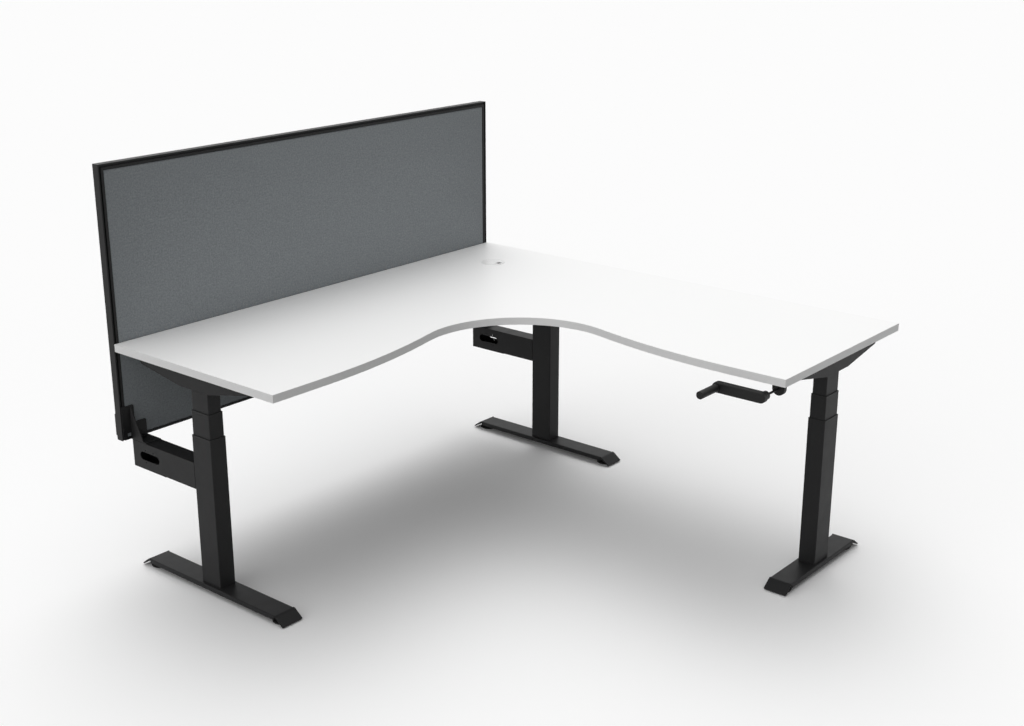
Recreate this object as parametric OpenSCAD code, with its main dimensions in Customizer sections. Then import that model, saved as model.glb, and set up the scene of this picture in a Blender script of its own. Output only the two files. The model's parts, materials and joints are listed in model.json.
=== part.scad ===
// Corner workstation: an L-shaped worktop on three telescopic legs that a hand crank raises
// and lowers, with a fabric screen along its back edge that stays at one height.
// The frame is +Z up, +X along the screen, +Y towards the screen's back. The origin is on the
// floor, in the middle of the whole outline.

/* [Worktop] */
// Length of the worktop along the screen
desk_w = 1800; // [1600:10:2200]
// Length of the worktop along the return wing
desk_d = 1800; // [1600:10:2200]
// Height of the worktop's upper face above the floor
desk_h = 770; // [740:5:840]
// Thickness of the worktop
top_t = 25; // [22:1:40]
// Depth of a wing at its free end
wing_d = 750; // [710:10:800]
// How much a wing narrows beside the inner corner
waist_cut = 75; // [40:5:110]
// Radius of the inner corner, where a person sits
inner_r = 325; // [250:5:400]
// Straight part of the front edge at each free end
end_straight = 200; // [150:10:300]
// Thickness of the edge band
edge_t = 2; // [1:0.5:3]

/* [Leg places] */
// From a free end of the worktop to the centre of the nearest column
leg_inset = 64; // [62:1:90]
// From the back edge of the screen wing to the centre line of its two columns
leg_back = 362; // [350:2:380]
// From the back edge of the return wing to the centre of its column
leg_back_return = 368; // [350:2:380]

/* [Columns] */
// Size of the outer tube along its foot
outer_l = 90; // [80:1:95]
// Size of the outer tube across its foot
outer_w = 60; // [56:1:66]
// How much smaller each inner stage is on every side
stage_step = 2.8; // [2.8:0.1:3.4]
// Wall of every column tube
tube_wall = 2; // [1.6:0.1:2.1]
// Outer corner radius of every column tube
tube_r = 3; // [3:0.5:5]
// Length of the outer tube with its collar
outer_len = 502; // [480:2:520]
// Length of the middle tube with its collar
middle_len = 520; // [500:2:530]
// Length of the inner tube
inner_len = 520; // [500:2:530]
// Share of the open column that the middle tube shows
middle_show_share = 0.555; // [0.5:0.005:0.6]

/* [Feet] */
// Length of the two feet under the screen wing
foot_long = 695; // [600:5:760]
// Length of the foot under the return wing
foot_short = 499; // [440:1:520]
// Width of a foot
foot_w = 80; // [76:1:90]
// Height of a foot's upper face above the floor
foot_top = 32; // [30:1:40]
// Thickness of the foot's sheet metal
foot_t = 4; // [3:0.5:5]
// Height of the foot's side flange
foot_flange = 15; // [12:1:20]
// Length of the bent-down flap at each end, seen from above
foot_flap = 35; // [30:1:45]
// How far the flap bends down
foot_drop = 26; // [20:1:26]

/* [Levelling glides] */
// From the bend of the flap to the centre of the glide
glide_inset = 11; // [10:1:30]
// Radius of the glide's disc
glide_r = 32; // [24:1:34]
// Height of the glide's disc
glide_h = 8; // [6:1:8]
// Radius of the glide's threaded stem
stem_r = 4; // [3:0.5:5]

/* [Top brackets] */
// Height of a support bracket at its column
bracket_h = 65; // [60:1:72]
// From the worktop's front edge to the front tip of a bracket
bracket_in = 148; // [130:2:170]
// Reach of a bracket behind the column's centre
bracket_rear = 292; // [260:2:320]
// Full-height part behind the column's centre
bracket_flat = 100; // [60:2:120]
// Height of a bracket at its front tip
tip_front = 25; // [20:1:35]
// Height of a bracket at its rear tip
tip_rear = 33; // [25:1:45]
// Thickness of the bracket's sheet metal
bracket_t = 3; // [2.5:0.25:3.5]
// Height of the cross beams' channels
beam_h = 55; // [50:1:58]

/* [Screen] */
// Height of the screen above the worktop
screen_up = 570; // [300:10:700]
// Reach of the screen below the worktop's upper face
screen_down = 329; // [300:1:329]
// Thickness of the screen's frame
screen_t = 28; // [28:1:40]
// Gap between the worktop's back edge and the screen
screen_gap = 2; // [2:0.5:6]
// Width of the screen's frame, seen from the front
frame_face = 19; // [18:1:24]
// Thickness of the screen's board
board_t = 14; // [12:1:16]
// How far the fabric lies behind the face of the frame
fabric_recess = 0.5; // [0.5:0.5:3]

/* [Screen arms] */
// Height of an arm
arm_h = 89; // [80:1:100]
// Space between an arm and the screen's lower edge
arm_gap = 1; // [1:1:10]
// Wall of an arm
arm_wall = 3; // [2:0.5:4]
// Length of the doubler plate under an arm's rear end
sole_l = 164; // [120:4:200]
// From the worktop's back edge to an arm's rear end
arm_back = 3; // [1:1:6]
// Length of the cable slot in an arm's sides
slot_l = 98; // [80:2:110]
// Height of the cable slot
slot_h = 27; // [20:1:32]
// From the arm's rear end to the centre of its slot
slot_back = 85; // [75:1:110]
// Spacing of the small screw holes along the arm
arm_hole_y = 40; // [30:1:50]
// Spacing of the small screw holes up the arm
arm_hole_z = 42; // [38:1:50]
// Radius of the small screw holes
arm_hole_r = 2; // [1.5:0.25:2.5]

/* [Crank] */
// Depth of the crank's axis below the worktop's upper face
crank_drop = 63; // [62:0.5:64]
// Length of the crank's arm from axis to axis
crank_arm_l = 150; // [120:5:180]
// Half the height of the crank's arm, and the radius of its ends
crank_arm_r = 17; // [15:1:18]
// Radius of the rod from the gearbox to the crank
crank_rod_r = 3.75; // [3:0.25:5]
// Thickness of the crank's arm
crank_arm_t = 24; // [16:1:28]
// Length of the grip
grip_l = 92; // [80:2:110]
// Radius of the grip
grip_r = 12.5; // [11:0.5:15]

/* [Gears and screws] */
// Teeth of each pinion
pinion_teeth = 15; // [15:1:15]
// Teeth of each wheel on a vertical drive rod
wheel_teeth = 26; // [26:1:26]
// Teeth of the two equal gears in the corner gearbox
mitre_teeth = 18; // [18:1:18]
// Pitch radius of the wheel
wheel_r = 15.5; // [15:0.25:15.75]
// Radius of the drive shafts' journals
journal_r = 6; // [6:0.25:6.5]
// Radius of the fixed lifting screw
screw_r = 8; // [7:0.5:9]
// Radius of the turning lifting screw
spindle_r = 13; // [12:0.5:14]

/* [Cable outlet] */
// From both back edges of the worktop to the centre of the cable outlet
outlet_in = 235; // [220:5:320]
// Radius of the hole through the worktop
outlet_r = 40; // [32:1:44]
// Radius of the outlet's flange
outlet_flange_r = 46; // [45:1:52]
// Width of the cable notch in the cap
notch_w = 24; // [16:1:28]

/* [Hidden] */
$fn = 48;

// One overrun serves every cut
over = 1;
// Play between pieces that slide or turn on each other, by kind
slide_play = 0.3;
turn_play = 0.1;
seat_play = 0.1;

// Finishes
white_board = [0.95, 0.95, 0.94];
band_white = [0.86, 0.86, 0.85];
black_steel = [0.17, 0.17, 0.175];
black_plastic = [0.09, 0.09, 0.095];
plain_steel = [0.62, 0.63, 0.65];
cast_grey = [0.4, 0.4, 0.42];
cloth_grey = [0.42, 0.44, 0.46];
cap_white = [0.9, 0.9, 0.89];

// Heights above the floor
under_z = desk_h - top_t;
bracket_z = under_z - bracket_h;
axis_z = desk_h - crank_drop;
outer_top = foot_top + outer_len;
middle_top = outer_top + (bracket_z - outer_top) * middle_show_share;
middle_bottom = middle_top - middle_len;
inner_bottom = bracket_z - inner_len;
screen_bottom = desk_h - screen_down;
screen_top = desk_h + screen_up;
arm_top = screen_bottom - arm_gap;

// The worktop's back corner, seen from the middle of the outline
backplate_t = 5;
back_reach = screen_gap + screen_t + backplate_t;
corner_x = desk_w / 2;
corner_y = (desk_d - back_reach) / 2;
screen_w = desk_w;
waist_d = wing_d - waist_cut;
bracket_front = wing_d - leg_back - bracket_in;

// Column stages, from the floor up
collar_t = 3;
collar_skirt = 25;
skirt_t = stage_step - tube_wall - slide_play - seat_play;
middle_l = outer_l - 2 * stage_step;
middle_w = outer_w - 2 * stage_step;
inner_l = middle_l - 2 * stage_step;
inner_w = middle_w - 2 * stage_step;
tube_inner_r = tube_r - tube_wall;
base_plate_t = 6;
stage_plate_t = 4;
nut_t = 12;

// Column places, seen from the worktop's back corner, and how each foot is turned
leg_places = [
    [-(desk_w - leg_inset), -leg_back, 0],
    [-leg_inset, -leg_back, 0],
    [-leg_back_return, -(desk_d - leg_inset), -90]
];
foot_lengths = [foot_long, foot_long, foot_short];

// Feet and glides
foot_bolt_y = outer_l / 3;
foot_bolt_x = outer_w / 3.6;
bolt_r = 4;
bolt_head_r = 6.5;
bolt_head_h = 5;
boss_r = 9;
boss_h = foot_flange;
stem_top = foot_top - foot_t - turn_play;

// Lifting screws
rod_af = 8;
rod_r = rod_af / 2 / cos(30);
rod_bore_r = rod_r + 2 * turn_play;
screw_bore_r = rod_r + 6 * turn_play;
screw_top_share = 0.62;
screw_base_z = foot_top + base_plate_t;
screw_top = screw_base_z + (outer_top - screw_base_z) * screw_top_share + wheel_r;
spindle_neck_r = spindle_r - 3;
spindle_flange_r = spindle_r + 4;
spindle_flange_t = 4;
spindle_top = middle_top + spindle_flange_t;
spindle_nut_l = 24;
spindle_head_l = 15;
rod_bottom_share = 0.52;
rod_bottom = middle_bottom + (spindle_top - middle_bottom) * (1 - rod_bottom_share);

// Bevel gears: cone distance, face width and tooth form
wheel_angle = atan(wheel_teeth / pinion_teeth);
pinion_angle = atan(pinion_teeth / wheel_teeth);
cone_l = wheel_r / sin(wheel_angle);
face_l = cone_l / 3;
tooth_module = 2 * wheel_r / wheel_teeth;
addendum = 0.75 * tooth_module;
dedendum = 0.95 * tooth_module;
tooth_mid = 0.36 * PI * tooth_module;
root_share = 0.65;
tip_share = 0.28;
mitre_cone_l = 0.95 * cone_l;

// Gearbox housings
housing_wall = 3;
housing_half_x = inner_w / 2 - bracket_t - slide_play;
housing_half_y = outer_l / 3.3;
cavity_half = housing_half_x - housing_wall;
cavity_z = cavity_half;
hub_end = cavity_half - slide_play;
wheel_journal_r = journal_r + 1;
hub_step = 1;
hub_r = journal_r + hub_step;
wheel_hub_r = wheel_journal_r + 2 * hub_step;
shaft_af = 10;
shaft_r = shaft_af / 2 / cos(30);
shaft_hole_r = journal_r + 3;

// Beams
beam_t = 2.5;
beam_w = inner_w;

// Wood screws through the brackets and beams into the worktop
wood_screw_r = 2;
wood_head_r = 5;
wood_head_h = 2.5;
wood_screw_l = top_t * 0.7;
bracket_screw_shares = [0.06, 0.2, 0.72, 0.94];
cross_screw_shares = [0.1, 0.35, 0.6, 0.95];
return_screw_shares = [0.12, 0.5, 0.88];
bracket_len = bracket_front + bracket_rear;
tip_cut = 8;
cross_from = leg_places[0][0] + inner_w / 2;
cross_to = leg_places[1][0] - inner_w / 2;
return_from = leg_places[2][1] + inner_w / 2;
return_to = -leg_back - beam_w / 2;

// Screen frame section: outer lip, shadow groove, the metal behind it, chamber and slot
frame_skin = 4;
groove_w = 6;
groove_d = 6;
frame_web = 2;
frame_slot_d = 6;
low_rail_h = 8.5;
low_slot_d = 4;
frame_slot_w = board_t + 2 * seat_play;
fabric_t = (screen_t - board_t) / 2 - fabric_recess;
screen_face_y = screen_gap;

// Screen brackets: steps of the upright plate, above the arm's top
plate_t = 3;
plate_end_in = 3;
plate_tall = 116;
plate_low = 56;
plate_foot_z = 4.5;
plate_tall_in = 50;
plate_corner_r = 6;
web_top = 115;
web_l = 61;
base_l = 76;
base_in = 1;
window_w = 15;
window_h = 14;
window_z = 10;
plate_screw_in = 7;
plate_screw_low = 39;
plate_screw_high = 98;
plate_screw_r = 2.5;
plate_screw_head_r = 4.5;
plate_screw_head_h = 2.5;
sole_t = 1.5;
base_bolt_r = 3;
base_bolt_head_r = 5.5;
base_bolt_head_h = 3;
backplate_end_in = 0.5;
backplate_low = 15;
backplate_high = 88;

// Height of each plate screw above the arm's top, and how deep it goes behind the screen's face
plate_screws = [[plate_screw_low, screen_t + backplate_t], [plate_screw_high, screen_t / 2]];

// Crank, seen from the worktop's right-hand back edge
crank_clear = 10;
crank_hub_reach = 15;
crank_plate_in = wing_d + crank_clear;
crank_hub_in = crank_plate_in - crank_hub_reach;
crank_outer_in = crank_plate_in + crank_arm_t;
crank_hub_r = 14;
block_in = 91;
block_near = wing_d - block_in;
block_l = 16;
block_w = 42;
block_base_t = 4;
grip_pin_r = 4;
grip_wall_end = 4;
crank_axis_y = leg_places[2][1];

// Cable outlet
sleeve_wall = 2;
sleeve_flange_t = 2.5;
sleeve_inner_r = outlet_r - slide_play - sleeve_wall;
cap_t = 3;
cap_skirt_t = 1.6;
cap_skirt_h = 8;
notch_d = 18;

// Where the front edge's long curve runs, from the tangent rules of its arcs
arc_centre = waist_d + inner_r;
arc_run = desk_w - end_straight - arc_centre;
arc_run_d = desk_d - end_straight - arc_centre;
arc_rise = arc_centre - wing_d;
function long_r(run) = (run * run + arc_rise * arc_rise - inner_r * inner_r) / (2 * (wing_d - waist_d));

module at_corner() translate([corner_x, corner_y, 0]) children();

module at_leg(i) at_corner()
    translate([leg_places[i][0], leg_places[i][1], 0]) rotate([0, 0, leg_places[i][2]]) children();

// A screen arm's own place: x is outwards when negative, y = 0 at the worktop's back edge
module at_arm(i) at_corner() translate([leg_places[i][0], 0, arm_top]) mirror([i, 0, 0]) children();

// Turns a Z-built shaft piece so that it runs along +X, or along +Y
module along_x() rotate([0, 90, 0]) children();
module along_y() rotate([-90, 0, 0]) children();

// Centred rectangle with round corners
module rounded(x, y, r) {
    square([x - 2 * r, y], center = true);
    square([x, y - 2 * r], center = true);
    for (sx = [-1, 1], sy = [-1, 1])
        translate([sx * (x / 2 - r), sy * (y / 2 - r)]) circle(r);
}

// Upright hollow tube with round corners, from height z
module stage_tube(x, y, z, len) {
    translate([0, 0, z]) linear_extrude(len) difference() {
        rounded(x, y, tube_r);
        rounded(x - 2 * tube_wall, y - 2 * tube_wall, tube_inner_r);
    }
}

// Plastic collar on the top of a tube of outer size x by y: a flange and a thin skirt
module collar(x, y, top) {
    hole_x = x - 2 * stage_step + 2 * slide_play;
    hole_y = y - 2 * stage_step + 2 * slide_play;
    skirt_x = x - 2 * tube_wall - 2 * seat_play;
    skirt_y = y - 2 * tube_wall - 2 * seat_play;
    translate([0, 0, top - collar_t]) linear_extrude(collar_t) difference() {
        rounded(x, y, tube_r);
        rounded(hole_x, hole_y, tube_r);
    }
    translate([0, 0, top - collar_t - collar_skirt]) linear_extrude(collar_skirt) difference() {
        rounded(skirt_x, skirt_y, tube_r);
        rounded(hole_x, hole_y, tube_r);
    }
}

// Feet: folded plate with side flanges, bent-down ends and a threaded boss over each glide
module foot_flap_end(flat) {
    slope = sqrt(foot_flap * foot_flap + foot_drop * foot_drop);
    in_y = foot_t * foot_drop / slope;
    in_z = foot_t * foot_flap / slope;
    translate([-foot_w / 2, 0, 0]) rotate([90, 0, 90]) linear_extrude(foot_w) polygon([
        [flat / 2, foot_top],
        [flat / 2 + foot_flap, foot_top - foot_drop],
        [flat / 2 + foot_flap - in_y, foot_top - foot_drop - in_z],
        [flat / 2 - in_y, foot_top - in_z],
        [flat / 2 - foot_t, foot_top]
    ]);
}

module foot(i) {
    flat = foot_lengths[i] - 2 * foot_flap;
    boss_y = flat / 2 - glide_inset;
    color(black_steel) at_leg(i) difference() {
        union() {
            translate([-foot_w / 2, -flat / 2, foot_top - foot_t]) cube([foot_w, flat, foot_t]);
            for (side = [0, 1])
                translate([side * (foot_w - foot_t) - foot_w / 2, -flat / 2, foot_top - foot_flange])
                    cube([foot_t, flat, foot_flange]);
            for (end = [0, 1]) mirror([0, end, 0]) {
                foot_flap_end(flat);
                translate([0, boss_y, foot_top - foot_t - boss_h]) cylinder(r = boss_r, h = boss_h);
            }
        }
        for (end = [-1, 1]) translate([0, end * boss_y, foot_top - foot_t - boss_h - over])
            cylinder(r = stem_r + turn_play, h = boss_h + over);
        foot_bolt_places() translate([0, 0, foot_top - foot_t - over])
            cylinder(r = bolt_r + turn_play, h = foot_t + 2 * over);
    }
}

module foot_bolt_places()
    for (sx = [-1, 1], sy = [-1, 1]) translate([sx * foot_bolt_x, sy * foot_bolt_y, 0]) children();

module foot_bolts() color(plain_steel) for (i = [0 : 2]) at_leg(i) foot_bolt_places() {
    translate([0, 0, foot_top - foot_t - bolt_head_h]) difference() {
        cylinder(r = bolt_head_r, h = bolt_head_h);
        translate([0, 0, -over]) cylinder(r = bolt_r * 0.7, h = bolt_head_h * 0.6 + over, $fn = 6);
    }
    translate([0, 0, foot_top - foot_t]) cylinder(r = bolt_r, h = foot_t + base_plate_t);
}

// Levelling glides: a disc with a rounded edge on a threaded stem
module glide(i, end) {
    flat = foot_lengths[i] - 2 * foot_flap;
    rim = glide_h / 4;
    color(black_plastic) at_leg(i) translate([0, end * (flat / 2 - glide_inset), 0]) {
        rotate_extrude() polygon([
            [0, 0], [glide_r - rim, 0], [glide_r, rim], [glide_r, glide_h - 2 * rim],
            [glide_r - 2 * rim, glide_h], [0, glide_h]
        ]);
        translate([0, 0, glide_h - rim]) cylinder(r = stem_r, h = stem_top - glide_h + rim);
    }
}

// Outer tubes, each with a thick base plate that the foot's bolts screw into
module outer_tube(i) {
    color(black_steel) at_leg(i) {
        stage_tube(outer_w, outer_l, foot_top, outer_len - collar_t);
        difference() {
            translate([0, 0, foot_top]) linear_extrude(base_plate_t)
                rounded(outer_w - 2 * tube_wall, outer_l - 2 * tube_wall, tube_inner_r);
            foot_bolt_places() translate([0, 0, foot_top - over])
                cylinder(r = bolt_r + turn_play, h = base_plate_t + 2 * over);
        }
    }
}

module outer_collars() color(black_plastic) for (i = [0 : 2]) at_leg(i) collar(outer_w, outer_l, outer_top);

// The lifting screw that stands on each outer tube's base plate and never turns
module fixed_screws() color(plain_steel) for (i = [0 : 2]) at_leg(i)
    translate([0, 0, screw_base_z]) difference() {
        cylinder(r = screw_r, h = screw_top - screw_base_z);
        translate([0, 0, over]) cylinder(r = screw_bore_r, h = screw_top - screw_base_z);
    }

// Middle tubes, each with a bottom plate that carries the turning screw
module middle_tube(i) {
    color(black_steel) at_leg(i) {
        stage_tube(middle_w, middle_l, middle_bottom, middle_len - collar_t);
        translate([0, 0, middle_bottom]) linear_extrude(stage_plate_t) difference() {
            rounded(middle_w - 2 * tube_wall, middle_l - 2 * tube_wall, tube_inner_r);
            circle(spindle_neck_r + turn_play);
        }
    }
}

module middle_collar(i) color(black_plastic) at_leg(i) collar(middle_w, middle_l, middle_top);

// The turning screw: its lower end is a nut on the fixed screw, its head takes the drive rod
module spindle(i) {
    plate_top = middle_bottom + stage_plate_t;
    low = middle_bottom - spindle_flange_t;
    color(plain_steel) at_leg(i) difference() {
        union() {
            translate([0, 0, low]) cylinder(r = spindle_r, h = spindle_flange_t - turn_play);
            translate([0, 0, low]) cylinder(r = spindle_neck_r, h = 2 * spindle_flange_t + stage_plate_t);
            translate([0, 0, plate_top + turn_play]) {
                cylinder(r = spindle_flange_r, h = spindle_flange_t);
                cylinder(r = spindle_r, h = spindle_top - plate_top - turn_play);
            }
        }
        translate([0, 0, low - over]) cylinder(r = screw_r + turn_play, h = spindle_nut_l + over);
        translate([0, 0, low]) cylinder(r = screw_r + slide_play, h = spindle_top - spindle_head_l - low);
        translate([0, 0, low]) cylinder(r = rod_bore_r, h = spindle_top - low + over);
    }
}

// Inner tubes, each with a nut plate at the bottom that rides on the turning screw
module inner_tube(i) {
    color(black_steel) at_leg(i) {
        stage_tube(inner_w, inner_l, inner_bottom, inner_len);
        translate([0, 0, inner_bottom]) linear_extrude(nut_t) difference() {
            rounded(inner_w - 2 * tube_wall, inner_l - 2 * tube_wall, tube_inner_r);
            circle(spindle_r + turn_play);
        }
    }
}

// Top brackets: an upside-down channel whose sides taper to both tips
module bracket_side() rotate([90, 0, 90]) linear_extrude(bracket_t) polygon([
    [-bracket_front, under_z], [-bracket_front, under_z - tip_front + tip_cut],
    [tip_cut - bracket_front, under_z - tip_front], [-inner_l / 2, bracket_z], [bracket_flat, bracket_z],
    [bracket_rear - tip_cut, under_z - tip_rear], [bracket_rear, under_z - tip_rear + tip_cut],
    [bracket_rear, under_z]
]);

module bracket(i) {
    // which outer faces let a shaft in: -1 and 1 are the two sides
    sides = i == 0 ? [1] : [-1];
    color(black_steel) at_leg(i) difference() {
        union() {
            for (side = [0, 1]) translate([side * (inner_w - bracket_t) - inner_w / 2, 0, 0]) bracket_side();
            translate([-inner_w / 2, -bracket_front, under_z - bracket_t])
                cube([inner_w, bracket_len, bracket_t]);
            translate([-inner_w / 2, -inner_l / 2, bracket_z]) cube([inner_w, inner_l, bracket_t]);
        }
        translate([0, 0, bracket_z - over])
            cylinder(r = wheel_journal_r + 2 * housing_wall, h = bracket_t + 2 * over);
        for (side = sides) translate([side * (inner_w / 2 - 2 * bracket_t) - bracket_t * 2, 0, axis_z])
            along_x() cylinder(r = shaft_hole_r, h = 4 * bracket_t);
        bracket_screw_places() translate([0, 0, -bracket_t - over])
            cylinder(r = wood_screw_r + turn_play, h = bracket_t + 2 * over);
    }
}

module bracket_screw_places() for (s = bracket_screw_shares)
    translate([0, s * bracket_len - bracket_front, under_z]) children();

// Beams: upside-down channels under the worktop that cover the two long shafts
module beam_section() polygon([
    [-beam_w / 2, under_z], [-beam_w / 2, under_z - beam_h], [beam_t - beam_w / 2, under_z - beam_h],
    [beam_t - beam_w / 2, under_z - beam_t], [beam_w / 2 - beam_t, under_z - beam_t],
    [beam_w / 2 - beam_t, under_z - beam_h], [beam_w / 2, under_z - beam_h], [beam_w / 2, under_z]
]);

module cross_screw_places() for (s = cross_screw_shares)
    translate([cross_from + s * (cross_to - cross_from), -leg_back, under_z]) children();

module return_screw_places() for (s = return_screw_shares)
    translate([-leg_back_return, return_from + s * (return_to - return_from), under_z]) children();

module beam_cross() color(black_steel) at_corner() difference() {
    translate([cross_from, -leg_back, 0]) rotate([90, 0, 90])
        linear_extrude(cross_to - cross_from) beam_section();
    translate([-leg_back_return, -leg_back, axis_z]) rotate([90, 0, 0])
        cylinder(r = shaft_hole_r, h = beam_w);
    cross_screw_places() translate([0, 0, -beam_t - over])
        cylinder(r = wood_screw_r + turn_play, h = beam_t + 2 * over);
}

module beam_return() color(black_steel) at_corner() difference() {
    translate([-leg_back_return, return_to, 0]) rotate([90, 0, 0])
        linear_extrude(return_to - return_from) beam_section();
    return_screw_places() translate([0, 0, -beam_t - over])
        cylinder(r = wood_screw_r + turn_play, h = beam_t + 2 * over);
}

// Gearbox housings: one in each bracket over its column, one where the beams meet
module housing_body(half_y, low, high) difference() {
    translate([-housing_half_x, -half_y, low]) cube([2 * housing_half_x, 2 * half_y, high - low]);
    translate([-cavity_half, -cavity_half, axis_z - cavity_z])
        cube([2 * cavity_half, 2 * cavity_half, 2 * cavity_z]);
}

module shaft_bore(turn) translate([0, 0, axis_z]) rotate([0, 0, turn]) along_x()
    cylinder(r = journal_r + turn_play, h = housing_half_y + over);

module gearboxes() color(cast_grey) {
    for (i = [0 : 2]) at_leg(i) difference() {
        housing_body(housing_half_y, bracket_z + bracket_t, under_z - bracket_t);
        translate([0, 0, bracket_z + bracket_t - over])
            cylinder(r = wheel_journal_r + turn_play, h = axis_z - bracket_z);
        if (i == 0) shaft_bore(0);
        if (i == 1) shaft_bore(180);
        if (i == 2) shaft_bore(180);
        if (i == 2) shaft_bore(-90);
    }
    at_corner() translate([-leg_back_return, -leg_back, 0]) difference() {
        housing_body(housing_half_x, axis_z - cavity_z - housing_wall, under_z - beam_t);
        shaft_bore(0);
        shaft_bore(180);
        shaft_bore(-90);
    }
}

// Bevel gear, apex at the origin, axis +Z, a tooth at angle phase, its hub running up to height end.
// Every tooth narrows towards the apex, so both its ends are the same outline at two scales.
function tooth_point(p, half, turn, scale) = scale * [
    p[0] * cos(turn) - half * sin(turn), p[0] * sin(turn) + half * cos(turn), p[1]
];

module bevel_gear(teeth, angle, outer, mid, end, hub, phase) {
    side = [cos(angle), -sin(angle)];
    pitch = outer * [sin(angle), cos(angle)];
    tip = pitch + addendum * side;
    root = pitch - dedendum * side;
    outline = [
        [root, -mid * root_share], [tip, -mid * tip_share], [tip, mid * tip_share], [root, mid * root_share]
    ];
    ring = 4 * teeth;
    last = teeth - 1;
    rotate(phase) {
        polyhedron(
            points = [
                for (scale = [1, (outer - face_l) / outer], t = [0 : last], p = outline)
                    tooth_point(p[0], p[1], t * 360 / teeth, scale)
            ],
            faces = concat(
                [for (i = [0 : ring - 1]) [i, (i + 1) % ring, ring + (i + 1) % ring, ring + i]],
                [for (t = [0 : last]) [4 * t + 3, 4 * t + 2, 4 * t + 1, 4 * t]],
                [for (t = [0 : last]) [for (j = [0 : 3]) ring + 4 * t + j]],
                [[for (t = [last : -1 : 0], j = [3, 0]) 4 * t + j]],
                [[for (t = [0 : last], j = [0, 3]) ring + 4 * t + j]]
            )
        );
        translate([0, 0, root[1] - over]) cylinder(r = hub, h = end - root[1] + over);
    }
}

module pinion(phase) bevel_gear(pinion_teeth, pinion_angle, cone_l, tooth_mid, hub_end, hub_r, phase);
module wheel(phase)
    bevel_gear(wheel_teeth, wheel_angle, cone_l, tooth_mid, cavity_z - turn_play, wheel_hub_r, phase);
module mitre(phase)
    bevel_gear(mitre_teeth, 45, mitre_cone_l, tooth_mid * mitre_cone_l / cone_l, hub_end, hub_r, phase);

// Vertical drive rods: a wheel under the gearbox's centre, a journal and a six-sided rod
module drive_rod(i) {
    // a tooth of the wheel faces the shaft on the screen legs, and the crank on the return leg
    facing = [0, 180, -90];
    color(plain_steel) at_leg(i) {
        translate([0, 0, axis_z]) mirror([0, 0, 1]) wheel(facing[i]);
        translate([0, 0, bracket_z + bracket_t / 2])
            cylinder(r = wheel_journal_r, h = axis_z - cavity_z + turn_play + over - bracket_z - bracket_t / 2);
        translate([0, 0, rod_bottom]) cylinder(r = rod_r, h = bracket_z - rod_bottom + bracket_t, $fn = 6);
    }
}

half_pinion = 180 / pinion_teeth;
half_mitre = 180 / mitre_teeth;

// A six-sided shaft from a to b along Z, with a round journal at each end
module shaft_rod(a, b) {
    run = housing_half_x - hub_end + 2 * over;
    translate([0, 0, a]) cylinder(r = shaft_r, h = b - a, $fn = 6);
    for (z = [a - over, b + over - run]) translate([0, 0, z]) cylinder(r = journal_r, h = run);
}

module cross_shaft() color(plain_steel) at_corner() translate([leg_places[0][0], -leg_back, axis_z]) {
    span = leg_places[1][0] - leg_places[0][0];
    join = -leg_back_return - leg_places[0][0];
    along_x() pinion(half_pinion);
    along_x() shaft_rod(hub_end, span - hub_end);
    translate([span, 0, 0]) mirror([1, 0, 0]) along_x() pinion(half_pinion);
    translate([join, 0, 0]) mirror([1, 0, 0]) along_x() mitre(90);
    translate([join - housing_half_y - over, 0, 0]) along_x()
        cylinder(r = journal_r, h = 2 * (housing_half_y + over));
}

module return_shaft() color(plain_steel) at_corner() translate([-leg_back_return, leg_places[2][1], axis_z]) {
    span = -leg_back - leg_places[2][1];
    along_y() pinion(90);
    along_y() shaft_rod(hub_end, span - hub_end);
    translate([0, span, 0]) mirror([0, 1, 0]) along_y() mitre(half_mitre);
}

module crank_shaft() color(plain_steel) at_corner() translate([-leg_back_return, crank_axis_y, axis_z]) {
    mirror([1, 0, 0]) along_x() pinion(half_pinion);
    mirror([1, 0, 0]) along_x() {
        translate([0, 0, hub_end - over]) cylinder(r = journal_r, h = housing_half_y - hub_end + 2 * over);
        translate([0, 0, housing_half_y])
            cylinder(r = crank_rod_r, h = crank_plate_in - leg_back_return - housing_half_y);
    }
}

// Bearing block under the front edge, round below
module crank_bearing() color(black_plastic) at_corner() translate([-block_near - block_l, crank_axis_y, 0]) {
    difference() {
        union() {
            translate([0, -block_w / 2, axis_z]) cube([block_l, block_w, under_z - axis_z]);
            translate([0, 0, axis_z]) along_x() cylinder(r = block_w / 2, h = block_l);
            translate([0, -block_w, under_z - block_base_t]) cube([block_l, 2 * block_w, block_base_t]);
        }
        translate([-over, 0, axis_z]) along_x() cylinder(r = crank_rod_r + turn_play, h = block_l + 2 * over);
        block_screw_places() translate([0, 0, -block_base_t - over])
            cylinder(r = wood_screw_r + turn_play, h = block_base_t + 2 * over);
    }
}

module block_screw_places() for (side = [-1, 1])
    translate([block_l / 2, side * block_w * 0.75, under_z]) children();

// The crank's arm: hub, flat bar and the pin that the grip turns on
module crank_arm() color(black_plastic) at_corner() translate([-crank_outer_in, crank_axis_y, axis_z]) {
    difference() {
        union() {
            along_x() cylinder(r = crank_hub_r, h = crank_outer_in - crank_hub_in);
            for (y = [0, crank_arm_l]) translate([0, y, 0]) along_x() cylinder(r = crank_arm_r, h = crank_arm_t);
            translate([0, 0, -crank_arm_r]) cube([crank_arm_t, crank_arm_l, 2 * crank_arm_r]);
        }
        translate([crank_arm_t, 0, 0]) along_x()
            cylinder(r = crank_rod_r, h = crank_outer_in - crank_hub_in - crank_arm_t + over);
    }
    translate([-grip_l + grip_wall_end + slide_play, crank_arm_l, 0]) along_x()
        cylinder(r = grip_pin_r, h = grip_l - grip_wall_end);
}

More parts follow.
